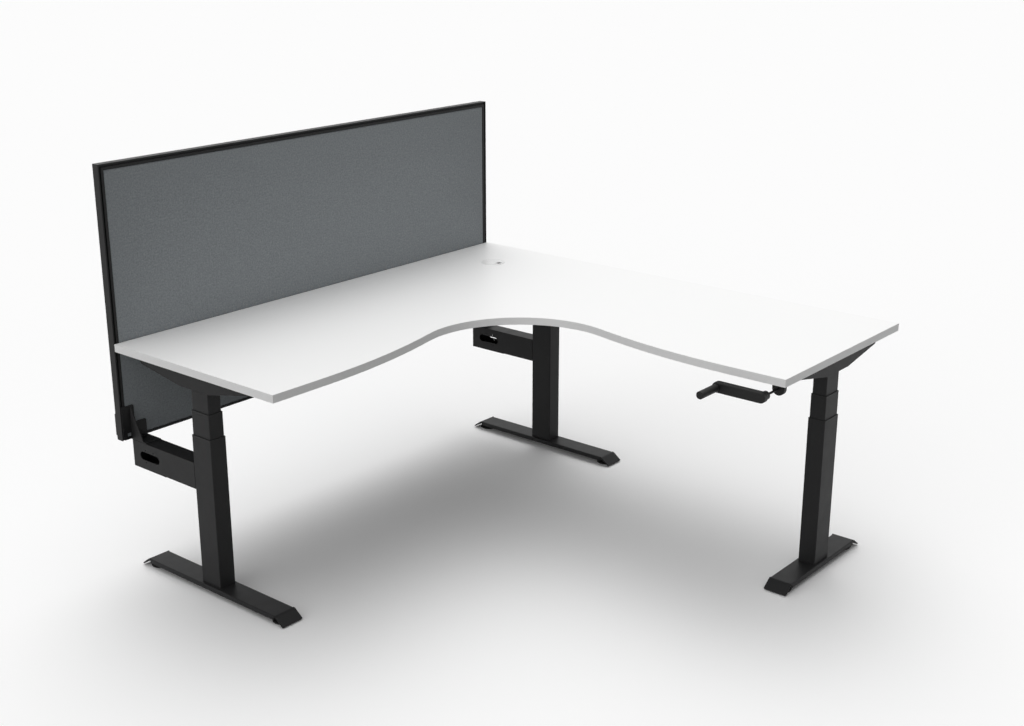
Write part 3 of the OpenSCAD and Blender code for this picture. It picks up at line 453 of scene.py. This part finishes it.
def raw_fibreboard():
    finish = Finish("board_core", (0.50, 0.41, 0.30), 0.85, specular=0.2)
    fibres = finish.grain(CHIP, stretch=(3, 1, 1), detail=5)
    finish.colour(finish.mix(fibres, (0.43, 0.34, 0.24), (0.58, 0.49, 0.37)))
    finish.raised(fibres, CHIP_DEPTH)
    return finish.material


steel_plain = turned_steel()
cast_grey = rough_casting()
board_core = raw_fibreboard()
print("inner finishes:", steel_plain.name, cast_grey.name, board_core.name)

# %% [markdown]
# The record says which finish each node has. A table from the record's slot names to the materials
# paints every node at once. Typing a material for each of the sixty nodes would be longer, and it
# could disagree with the record.

# %% Paint every solid
FINISHES = {m.name: m for m in (coat_black, frame_black, steel_black, board_white, band_white, cap_white,
                                plastic_black, cloth_grey, steel_plain, cast_grey, board_core)}
SLOT_OF = {row["node"]: row["material_slot"] for row in frame["record"]["subparts"]}
for name, solid in frame["nodes"].items():
    for place in solid.material_slots:
        place.material = FINISHES[SLOT_OF[name]]
print("painted", len(SLOT_OF), "solids with", len(FINISHES), "finishes")

# %% [markdown]
# Every piece that is made anew goes through the same few steps: it gets a name, a finish, smooth
# faces that stay crisp at sharp edges, and the body of the solid that it stands for. Weighted normals
# keep the wide flats truly flat between narrow rounded edges, where plain smooth shading would smear.

# %% Words for pieces
SMOOTH_ANGLE = math.radians(35)
SHARP_CORNER = {"limit_method": "ANGLE", "angle_limit": math.radians(50)}
BODY_OF = {node: body for body, nodes in frame["record"]["behaviour"]["bodies"].items() for node in nodes}


def stand_in(name, mesh, *nodes):
    """Put a mesh in the place of one or more solids, with the body and the finish of the first."""
    piece = bpy.data.objects.new(name, mesh)
    bpy.context.scene.collection.objects.link(piece)
    mesh.materials.clear()
    mesh.materials.append(FINISHES[SLOT_OF[nodes[0]]])
    mesh.shade_smooth()
    mesh.set_sharp_from_angle(angle=SMOOTH_ANGLE)
    crisp = piece.modifiers.new("crisp", "WEIGHTED_NORMAL")
    crisp.keep_sharp = True
    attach(piece, BODY_OF[nodes[0]])
    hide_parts(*nodes)
    return piece


def shaped(mesh, *steps):
    """A new mesh: this one after some modifiers, each given as its kind and its settings."""
    carrier = bpy.data.objects.new("carrier", mesh)
    bpy.context.scene.collection.objects.link(carrier)
    for kind, settings in steps:
        modifier = carrier.modifiers.new(kind.lower(), kind)
        for key, value in settings.items():
            setattr(modifier, key, value)
    result = bpy.data.meshes.new_from_object(carrier.evaluated_get(bpy.context.evaluated_depsgraph_get()))
    bpy.data.objects.remove(carrier)
    return result


print("bodies in use:", len(set(BODY_OF.values())))

# %% [markdown]
# No real edge is a knife edge: folded steel, moulded plastic and sawn aluminium all have a small
# radius that catches a line of light. The CAD solids are sharp, so each gets a copy on which every
# convex edge is bevelled by a width that suits its material. A bevel modifier would do the same, but
# in mesh code the edges can be chosen, so that small screw holes stay crisp.

# %% Edges broken on copies of the solids
CONVEX = math.radians(30)
WELD = 0.01 * MM
FLAT = math.radians(0.1)


def softened(node, width, shortest=1.0 * MM, chosen=None, segments=2):
    """A copy of a solid whose convex edges are rounded by width, but not those shorter than shortest."""
    form = bmesh.new()
    form.from_mesh(frame["nodes"][node].data)
    bmesh.ops.remove_doubles(form, verts=form.verts, dist=WELD)
    bmesh.ops.dissolve_limit(form, angle_limit=FLAT, verts=form.verts, edges=form.edges)
    edges = [e for e in form.edges if len(e.link_faces) == 2 and e.calc_face_angle_signed(0) > CONVEX
             and e.calc_length() > shortest and (chosen is None or chosen(e))]
    bmesh.ops.bevel(form, geom=edges, offset=width, offset_type="OFFSET", segments=segments, profile=0.5,
                    affect="EDGES", clamp_overlap=True)
    mesh = bpy.data.meshes.new(node + "_soft")
    form.to_mesh(mesh)
    form.free()
    return stand_in(node + "_soft", mesh, node), len(edges)


EDGE_WIDTHS = {    # in millimetres
    "arm_left": 1.0, "arm_corner": 1.0, "screen_bracket_left": 0.5, "screen_bracket_corner": 0.5,
    "screen_backplates": 0.5, "screen_post_left": 0.4, "screen_post_right": 0.4, "screen_rail_top": 0.4,
    "screen_rail_bottom": 0.4, "beam_cross": 0.8, "beam_return": 0.8, "outer_collars": 0.4,
    "crank_bearing": 1.2, "outlet_sleeve": 0.5, "outlet_cap": 0.5, "gearboxes": 1.5
}
for leg in LEGS:
    EDGE_WIDTHS["bracket_" + leg] = 1.0
    EDGE_WIDTHS["middle_collar_" + leg] = 0.4
for node, width in EDGE_WIDTHS.items():
    piece, count = softened(node, width * MM)
    print(piece.name, "has", count, "rounded edges")

# %% [markdown]
# The column tubes are rolled and welded, then sawn to length, so their long corners are round already
# and only the sawn ends need a chamfer. The edge band is a strip of plastic that was glued on and
# trimmed: its outer rims are rounded by the trimmer, while the inner ones must stay flush with the
# board. A search tree of the board tells the two apart, because the outer rims lie a band away from it.

# %% Tubes and edge band
SAWN = 0.4 * MM
TRIMMED = 1.0 * MM
for leg in LEGS:
    for stage in ("outer", "middle", "inner"):
        piece, count = softened(f"{stage}_tube_{leg}", SAWN, shortest=0.2 * MM)
        print(piece.name, "has", count, "rounded edges")

board = bmesh.new()
board.from_mesh(frame["nodes"]["worktop"].data)
board_tree = BVHTree.FromBMesh(board)
board.free()


def on_outer_rim(edge):
    middle = (edge.verts[0].co + edge.verts[1].co) / 2
    return board_tree.find_nearest(middle)[3] > TRIMMED


piece, count = softened("edge_band", TRIMMED, shortest=0.5 * MM, chosen=on_outer_rim, segments=3)
print(piece.name, "has", count, "rounded edges")

# %% [markdown]
# A foot is one steel blank: cut out flat, its two long sides folded down and both ends bent towards
# the floor. The script goes the same way. It draws the blank with its relief notches, cuts it across
# where it will bend, folds each point along an arc, and then gives the sheet its thickness. A solid
# with bevels would miss the notches and the even wall.

# %% A foot folded from its blank
SHEET = 4 * MM
FLAP_REACH = 35 * MM
FLAP_DROP = 26 * MM
FLANGE_H = 15 * MM
SIDE_R = 5 * MM
FLAP_R = 14 * MM
FLAP_CORNER = 3 * MM
CORNER_CUT = 0.3 * FLAP_CORNER    # the point between the two cuts that round a flap's corner
NOTCH = 1 * MM
FLANGE_SLANT = 3 * MM
SHEARED_EDGE = 0.5 * MM
BEND_STEPS = 6
ON_PLANE = 1e-7
FLAP_ANGLE = math.atan2(FLAP_DROP, FLAP_REACH)


def bent(s, start, radius, angle):
    """Where a point s along a sheet goes when the sheet bends down from start: how far out and down."""
    if s <= start:
        return s, 0.0
    turn = min((s - start) / radius, angle)
    out, down = start + radius * math.sin(turn), radius * (1 - math.cos(turn))
    rest = s - start - radius * angle
    if rest > 0:
        out, down = out + rest * math.cos(angle), down + rest * math.sin(angle)
    return out, down


def foot_mesh(length, width, top):
    """A folded foot along y, its upper face at height top, and the middle of it at x = y = 0."""
    half = length / 2 - FLAP_REACH
    flap_from = half - FLAP_R * math.tan(FLAP_ANGLE / 2)
    slope = math.hypot(FLAP_REACH, FLAP_DROP) - FLAP_R * math.tan(FLAP_ANGLE / 2)
    end = flap_from + FLAP_R * FLAP_ANGLE + slope
    side_from = width / 2 - SIDE_R
    tip = side_from + SIDE_R * math.pi / 2 + FLANGE_H - SIDE_R
    flange_end = flap_from - NOTCH
    quarter = [(width / 2 - FLAP_CORNER, end), (width / 2 - CORNER_CUT, end - CORNER_CUT),
               (width / 2, end - FLAP_CORNER), (width / 2, flap_from), (side_from, flap_from),
               (side_from, flange_end), (side_from + SIDE_R, flange_end), (tip, flange_end - FLANGE_SLANT)]
    right = quarter + [(x, -y) for x, y in reversed(quarter)]
    blank = right + [(-x, -y) for x, y in right]
    form = bmesh.new()
    form.faces.new([form.verts.new((x, y, 0)) for x, y in blank])
    for k in range(BEND_STEPS + 1):
        side = side_from + k / BEND_STEPS * SIDE_R * math.pi / 2
        flap = flap_from + k / BEND_STEPS * FLAP_R * FLAP_ANGLE
        for place, normal in (((-side, 0, 0), (1, 0, 0)), ((0, -flap, 0), (0, 1, 0)),
                              ((side, 0, 0), (1, 0, 0)), ((0, flap, 0), (0, 1, 0))):
            everything = form.verts[:] + form.edges[:] + form.faces[:]
            bmesh.ops.bisect_plane(form, geom=everything, dist=ON_PLANE, plane_co=place, plane_no=normal)
    for point in form.verts:
        x, y = abs(point.co.x), abs(point.co.y)
        if y < flap_from - WELD:
            x, down = bent(x, side_from, SIDE_R, math.pi / 2)
        else:
            y, down = bent(y, flap_from, FLAP_R, FLAP_ANGLE)
        point.co = (math.copysign(x, point.co.x), math.copysign(y, point.co.y), top - down)
    bmesh.ops.recalc_face_normals(form, faces=form.faces)
    if max(form.faces, key=lambda f: f.calc_area()).normal.z < 0:
        bmesh.ops.reverse_faces(form, faces=form.faces)
    mesh = bpy.data.meshes.new("blank")
    form.to_mesh(mesh)
    form.free()
    return shaped(mesh, ("SOLIDIFY", {"thickness": SHEET, "offset": -1, "use_even_offset": True}),
                  ("BEVEL", {"width": SHEARED_EDGE, "segments": 2, **SHARP_CORNER}))


print("a foot is folded from", round(SHEET / MM), "mm sheet and its ends drop", round(FLAP_DROP / MM), "mm")

# %% [markdown]
# Many pieces of this desk were turned: bosses, glides, screws, the crank's hub and its grip. The screw
# modifier can turn a profile too, but a few lines of mesh code let the radius change with the angle,
# which gives ribs and six-sided sockets from the same lathe. A second word joins meshes into one.

# %% Words for turned pieces
def turned(mesh_name, profile, sides=48):
    """A lathe: points (radius, height) turned round z. A radius may be a function of the angle."""
    form = bmesh.new()
    rings = []
    for radius, height in profile:
        if radius == 0:
            rings.append([form.verts.new((0, 0, height))])
            continue
        ring = []
        for k in range(sides):
            angle = 2 * math.pi * k / sides
            r = radius(angle) if callable(radius) else radius
            ring.append(form.verts.new((r * math.cos(angle), r * math.sin(angle), height)))
        rings.append(ring)
    for low, high in zip(rings, rings[1:]):
        for k in range(sides):
            after = (k + 1) % sides
            if len(low) == 1:
                form.faces.new((low[0], high[k], high[after]))
            elif len(high) == 1:
                form.faces.new((low[k], high[0], low[after]))
            else:
                form.faces.new((low[k], high[k], high[after], low[after]))
    bmesh.ops.recalc_face_normals(form, faces=form.faces)
    mesh = bpy.data.meshes.new(mesh_name)
    form.to_mesh(mesh)
    form.free()
    return mesh


def joined(name, *meshes):
    """One mesh that holds all of these, each a closed shell of its own."""
    form = bmesh.new()
    for mesh in meshes:
        form.from_mesh(mesh)
    mesh = bpy.data.meshes.new(name)
    form.to_mesh(mesh)
    form.free()
    return mesh


print("words for turned pieces:", turned.__name__, joined.__name__)

# %% [markdown]
# The three feet differ only in length and direction, so both are read from the box of each solid. A
# boss under each end takes the glide's stem. It is turned in place and reaches a hair into the sheet,
# as if it were welded on.

# %% Three feet with their bosses
GLIDE_INSET = 11 * MM
BOSS_R = 9 * MM
BOSS_H = 15 * MM
BOSS_EDGE = 1 * MM
WELD_IN = 0.02 * MM    # how far a boss reaches into the sheet
STEM_R = 4 * MM
TAPPED_R = STEM_R + 0.1 * MM
for leg in LEGS:
    low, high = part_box("foot_" + leg)
    size = high - low
    along_x = size.x > size.y
    length, width = (size.x, size.y) if along_x else (size.y, size.x)
    plate = foot_mesh(length, width, high.z)
    bosses = []
    for sign in (-1, 1):
        top, end = high.z - SHEET + WELD_IN, high.z - SHEET - BOSS_H
        boss = turned("boss", [(TAPPED_R, end), (BOSS_R - BOSS_EDGE, end), (BOSS_R, end + BOSS_EDGE),
                               (BOSS_R, top), (TAPPED_R, top), (TAPPED_R, end)])
        boss.transform(Matrix.Translation((0, sign * (length / 2 - FLAP_REACH - GLIDE_INSET), 0)))
        bosses.append(boss)
    foot = joined("foot_" + leg + "_folded", plate, *bosses)
    foot.transform(Matrix.Translation(((low.x + high.x) / 2, (low.y + high.y) / 2, 0))
                   @ Matrix.Rotation(math.pi / 2 if along_x else 0, 4, "Z"))
    stand_in("foot_" + leg + "_folded", foot, "foot_" + leg)
    print("foot", leg, "is", round(length / MM), "mm long")

# %% [markdown]
# A glide is a moulded disc on a threaded stem, turned by hand from the side, so its rim is ribbed like
# a knob. The rim's radius follows the angle: one function of the angle gives the ribs, and the same
# lathe that turns the disc turns the stem.

# %% Levelling glides
DISC_R = 32 * MM
DISC_H = 8 * MM
RIB_DEPTH = 0.5 * MM
RIBS = 40
RIB_SIDES = 4 * RIBS
SMOOTH_FOOT = (2.0, 0.0)    # each point: how far inside the rim, and how high, in millimetres
RIBBED_RIM = ((0.5, 0.6), (0.0, 1.6), (0.0, 4.0), (0.6, 5.2))
SMOOTH_TOP = (3.0, 6.4)
NECK_R = 3 * MM    # how far the neck stands out from the stem
NECK_EDGE = 1 * MM
NECK_DROP = 0.6 * MM
STEM_PLAIN = 2 * MM    # the upper end of the stem, without thread
STEM_THREAD = 0.4 * MM
STEM_CREST = 0.9 * MM
STEM_PITCH = 1.25 * MM
STEM_END = 0.6 * MM


def ribbed(radius):
    return lambda angle: radius - RIB_DEPTH * (0.5 - 0.5 * math.cos(RIBS * angle))


for leg in LEGS:
    for end in ("rear", "front"):
        node = f"glide_{leg}_{end}"
        low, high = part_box(node)
        stem_top = high.z - low.z
        profile = [(0, 0), (DISC_R - SMOOTH_FOOT[0] * MM, SMOOTH_FOOT[1] * MM)]
        profile += [(ribbed(DISC_R - inside * MM), height * MM) for inside, height in RIBBED_RIM]
        profile += [(DISC_R - SMOOTH_TOP[0] * MM, SMOOTH_TOP[1] * MM),
                    (STEM_R + NECK_R + NECK_EDGE, DISC_H - NECK_DROP),
                    (STEM_R + NECK_R, DISC_H), (STEM_R, DISC_H)]
        z = DISC_H
        while z < stem_top - STEM_PLAIN:
            profile += [(STEM_R - STEM_THREAD, z + STEM_THREAD), (STEM_R, z + STEM_CREST)]
            z += STEM_PITCH
        profile += [(STEM_R - STEM_END, stem_top), (0, stem_top)]
        glide = turned(node, profile, sides=RIB_SIDES)
        glide.transform(Matrix.Translation(((low.x + high.x) / 2, (low.y + high.y) / 2, low.z)))
        stand_in(node + "_turned", glide, node)
print("six glides, each", round(2 * DISC_R / MM), "mm wide")

# %% [markdown]
# The screws and bolts of the frame all have a round head with a six-sided socket. The solids hold all
# screws of a kind in one mesh, so each has to be found first. Separating loose parts is an operator
# that needs a selection; walking from point to point along the edges gives the same islands here.

# %% The islands of a solid
def islands(node):
    """The points of a solid, sorted into its separate pieces."""
    form = bmesh.new()
    form.from_mesh(frame["nodes"][node].data)
    bmesh.ops.remove_doubles(form, verts=form.verts, dist=WELD)
    seen, pieces = set(), []
    for first in form.verts:
        if first in seen:
            continue
        seen.add(first)
        found, waiting = [], [first]
        while waiting:
            point = waiting.pop()
            found.append(point.co.copy())
            for edge in point.link_edges:
                other = edge.other_vert(point)
                if other not in seen:
                    seen.add(other)
                    waiting.append(other)
        pieces.append(found)
    form.free()
    return pieces


print("the plate screws are", len(islands("screen_screws")), "islands")


# %% [markdown]
# One profile gives a whole screw on the lathe: the socket's floor and walls, the rounded head, a plain
# shank, rings for the thread and a tapered tip. A real thread winds up as a helix, but on a shank of a
# few millimetres in a dark bracket nobody can tell it from rings, which cost far fewer faces.

# %% One screw
def hexagon(radius):
    """The radius of a six-sided hole that reaches radius at its flats."""
    return lambda angle: radius / math.cos((angle % (math.pi / 3)) - math.pi / 6)


SOCKET_SHARE = 0.5      # the socket's half width, of the head's radius
SOCKET_DEPTH = 0.65     # of the head's height
HEAD_EDGE = 0.2         # the rounding, of the head's smaller size
EDGE_MIDDLE = 0.3       # where the middle point of that rounding lies
PLAIN_SHANK = 0.3       # the part without thread, of the shank's length
THREAD_ROOT = 0.88      # of the shank's radius
TIP_L, TIP_R = 0.4, 0.6     # of the shank's radius
SCREW_SIDES = 36


def screw_mesh(shank_r, shank_l, head_r, head_h, pitch):
    """A screw along +z: the head below z = 0, its socket open downwards, and the ringed shank above."""
    socket, deep, edge = head_r * SOCKET_SHARE, head_h * SOCKET_DEPTH, min(head_h, head_r) * HEAD_EDGE
    profile = [(0, deep - head_h), (hexagon(socket), deep - head_h), (hexagon(socket), edge / 2 - head_h),
               (hexagon(socket + edge / 2), -head_h), (head_r - edge, -head_h),
               (head_r - edge * EDGE_MIDDLE, edge * EDGE_MIDDLE - head_h), (head_r, edge - head_h),
               (head_r, 0), (shank_r, 0)]
    z = shank_l * PLAIN_SHANK
    while z < shank_l - 2 * pitch:
        profile += [(shank_r, z), (shank_r * THREAD_ROOT, z + pitch / 2)]
        z += pitch
    profile += [(shank_r, z), (shank_r, shank_l - TIP_L * shank_r),
                (shank_r * TIP_R, shank_l), (0, shank_l)]
    return turned("screw", profile, sides=SCREW_SIDES)


print("a screw has", SCREW_SIDES, "sides")


# %% [markdown]
# Each island's box tells how long its screw is and which way it lies: its two cross sizes are equal.
# The end that reaches further out is the head. So every screw is made to measure and set exactly
# where the solid has it, and none of the places is typed again.

# %% Screws in their places
def reach_at(points, axis, level, across, middle):
    """How far the points at one level of an axis reach from the middle."""
    return max(abs(p[across] - middle[across]) for p in points if abs(p[axis] - level) < 10 * WELD)


ROUND_ENOUGH = 0.3 * MM    # a screw's two cross sizes differ by less
ON_HEAD = 0.97             # of the head's radius: points beyond this are on the head's rim
TURN_TO = (Matrix.Rotation(math.pi / 2, 4, "Y"), Matrix.Rotation(-math.pi / 2, 4, "X"), Matrix.Identity(4))


def screws(node, pitch):
    """Every screw of a solid, made again from its own box, its axis and the radius of its two parts."""
    made = []
    for points in islands(node):
        low = Vector([min(p[k] for p in points) for k in range(3)])
        high = Vector([max(p[k] for p in points) for k in range(3)])
        size = high - low
        axis = next(k for k in range(3) if abs(size[(k + 1) % 3] - size[(k + 2) % 3]) < ROUND_ENOUGH)
        across = (axis + 1) % 3
        middle = (low + high) / 2
        near = reach_at(points, axis, low[axis], across, middle)
        far = reach_at(points, axis, high[axis], across, middle)
        head_low = near > far
        head_r = size[across] / 2
        head_levels = [p[axis] for p in points if abs(p[across] - middle[across]) > head_r * ON_HEAD]
        head_h = max(head_levels) - min(head_levels)
        mesh = screw_mesh(min(near, far), size[axis] - head_h, head_r, head_h, pitch)
        flip = Matrix.Identity(4) if head_low else Matrix.Rotation(math.pi, 4, "X")
        seat = middle.copy()
        seat[axis] = low[axis] + head_h if head_low else high[axis] - head_h
        mesh.transform(Matrix.Translation(seat) @ TURN_TO[axis] @ flip)
        made.append(mesh)
    stand_in(node + "_turned", joined(node + "_turned", *made), node)
    print(node, "has", len(made), "screws")


for node, pitch in (("screen_screws", 0.8 * MM), ("frame_screws", 1.6 * MM), ("foot_bolts", 1.25 * MM)):
    screws(node, pitch)

# %% [markdown]
# The screen's cloth is pulled over a thin pad and tucked into the frame, so its face is flat and its
# rim dives round a small radius. A grid bent in code gives exactly that. A cloth simulation would only
# find the same shape, because a stretched sheet has no folds. It is a closed shell as thick as the pad.

# %% Stretched cloth on both faces
TUCK_R = 3 * MM
RIM_STEPS = 5
CROWN = 0.8 * MM
CROWN_REACH = 120 * MM
GRID = 24 * MM


def stops(low, high):
    """Places along one side: close together on the rounded rims and GRID apart between them."""
    rim = [TUCK_R * (1 - math.cos(k * math.pi / 2 / RIM_STEPS)) for k in range(RIM_STEPS + 1)]
    count = round((high - low - 2 * TUCK_R) / GRID)
    inner = [low + TUCK_R + (high - low - 2 * TUCK_R) * k / count for k in range(1, count)]
    return [low + r for r in rim] + inner + [high - r for r in reversed(rim)]


def cloth_panel(node, towards):
    """The cloth of one face; towards is -1 where its outer side looks along -y, and 1 along +y."""
    low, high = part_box(node)
    face, back = (low.y, high.y) if towards < 0 else (high.y, low.y)
    xs, zs = stops(low.x, high.x), stops(low.z, high.z)
    form = bmesh.new()
    grid = []
    for z in zs:
        row = []
        for x in xs:
            in_x, in_z = min(x - low.x, high.x - x), min(z - low.z, high.z - z)
            off = min(TUCK_R, math.hypot(max(0, TUCK_R - in_x), max(0, TUCK_R - in_z)))
            dive = TUCK_R - math.sqrt(max(0, TUCK_R ** 2 - off ** 2))
            swell = CROWN * math.sqrt(min(1, in_x / CROWN_REACH) * min(1, in_z / CROWN_REACH))
            row.append(form.verts.new((x, face - towards * (dive + CROWN - swell), z)))
        grid.append(row)
    for a, b in zip(grid, grid[1:]):
        for k in range(len(a) - 1):
            form.faces.new((a[k], a[k + 1], b[k + 1], b[k]))
    rim = [e for e in form.edges if e.is_boundary]
    made = bmesh.ops.extrude_edge_only(form, edges=rim)["geom"]
    for point in made:
        if isinstance(point, bmesh.types.BMVert):
            point.co.y = back
    bmesh.ops.contextual_create(form, geom=[e for e in form.edges if e.is_boundary])
    bmesh.ops.recalc_face_normals(form, faces=form.faces)
    mesh = bpy.data.meshes.new(node + "_cloth")
    form.to_mesh(mesh)
    form.free()
    piece = stand_in(node + "_cloth", mesh, node)
    print(piece.name, "measures", round(high.x - low.x, 3), "by", round(high.z - low.z, 3), "m")


cloth_panel("screen_fabric_front", -1)
cloth_panel("screen_fabric_back", 1)

# %% [markdown]
# The crank's arm is a moulded bar with round ends and well rounded long edges, a hub that takes the
# rod, and a pin for the grip. A capsule could be sculpted from a box with subdivision, but its flats
# would bulge. So the outline is drawn once, given its depth, and a bevel rounds it; hub and pin are
# turned.

# %% Crank arm
BAR_T = 24 * MM
HUB_REACH = 15 * MM
HUB_R = 14 * MM
HUB_EDGE = 1.5 * MM
HUB_IN = 1 * MM    # how far the hub reaches into the bar
PIN_R = 4 * MM
PIN_EDGE = 0.5 * MM
ROD_R = 4 * MM
ROD_RIM = 0.2 * MM
ROD_SUNK = 0.4 * MM
BAR_EDGE = 5 * MM
BAR_STEPS = 32
ALONG_X = Matrix.Rotation(math.pi / 2, 4, "Y")


def crank_bar():
    low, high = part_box("crank_arm")
    radius = (high.z - low.z) / 2
    centre_z = (high.z + low.z) / 2
    near, far = low.y + radius, high.y - radius
    face = high.x - HUB_REACH
    form = bmesh.new()
    outline = []
    for centre, start in ((near, math.pi / 2), (far, -math.pi / 2)):
        for k in range(BAR_STEPS + 1):
            angle = start + math.pi * k / BAR_STEPS
            outline.append((centre + radius * math.cos(angle), centre_z + radius * math.sin(angle)))
    bottom = form.faces.new([form.verts.new((face - BAR_T, y, z)) for y, z in outline])
    top = bmesh.ops.extrude_face_region(form, geom=[bottom])["geom"]
    for item in top:
        if isinstance(item, bmesh.types.BMVert):
            item.co.x = face
    bmesh.ops.recalc_face_normals(form, faces=form.faces)
    bar = bpy.data.meshes.new("bar")
    form.to_mesh(bar)
    form.free()
    bar = shaped(bar, ("BEVEL", {"width": BAR_EDGE, "segments": 5, **SHARP_CORNER}))
    rod_end = HUB_REACH - ROD_SUNK
    hub = turned("hub", [(0, -HUB_IN), (HUB_R, -HUB_IN), (HUB_R, HUB_REACH - HUB_EDGE),
                         (HUB_R - HUB_EDGE, HUB_REACH), (ROD_R + ROD_RIM, HUB_REACH),
                         (ROD_R, rod_end), (0, rod_end)])
    hub.transform(Matrix.Translation((face, near, centre_z)) @ ALONG_X)
    pin = turned("pin", [(0, 0), (PIN_R - PIN_EDGE, 0), (PIN_R, PIN_EDGE),
                         (PIN_R, face - low.x), (0, face - low.x)])
    pin.transform(Matrix.Translation((low.x, far, centre_z)) @ ALONG_X)
    return joined("crank_arm_moulded", bar, hub, pin)


stand_in("crank_arm_moulded", crank_bar(), "crank_arm")
print("the crank's bar is", round(BAR_T / MM), "mm thick")

# %% [markdown]
# The grip is a plain sleeve, closed at its outer end, that turns on the pin, so it is a piece of its
# own on its own body. A cylinder with a bevel would do for the outside; the lathe also gives it a bore.

# %% Crank grip
GRIP_EDGE = ((2.2, 0.0), (0.8, 0.4), (0.0, 1.8))    # inside the radius and in from the end, in millimetres
GRIP_GAP = 0.3 * MM
GRIP_CAP = 4 * MM


def crank_sleeve():
    low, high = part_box("crank_grip")
    radius, length = (high.z - low.z) / 2, high.x - low.x
    bore = PIN_R + GRIP_GAP
    profile = [(0, 0)] + [(radius - inside * MM, along * MM) for inside, along in GRIP_EDGE]
    profile += [(radius - inside * MM, length - along * MM) for inside, along in reversed(GRIP_EDGE)]
    profile += [(bore, length), (bore, GRIP_CAP), (0, GRIP_CAP)]
    sleeve = turned("sleeve", profile, sides=96)
    sleeve.transform(Matrix.Translation((low.x, (low.y + high.y) / 2, (low.z + high.z) / 2)) @ ALONG_X)
    return sleeve


stand_in("crank_grip_turned", crank_sleeve(), "crank_grip")
print("the grip's bore is", round(2 * (PIN_R + GRIP_GAP) / MM, 1), "mm wide")

# %% [markdown]
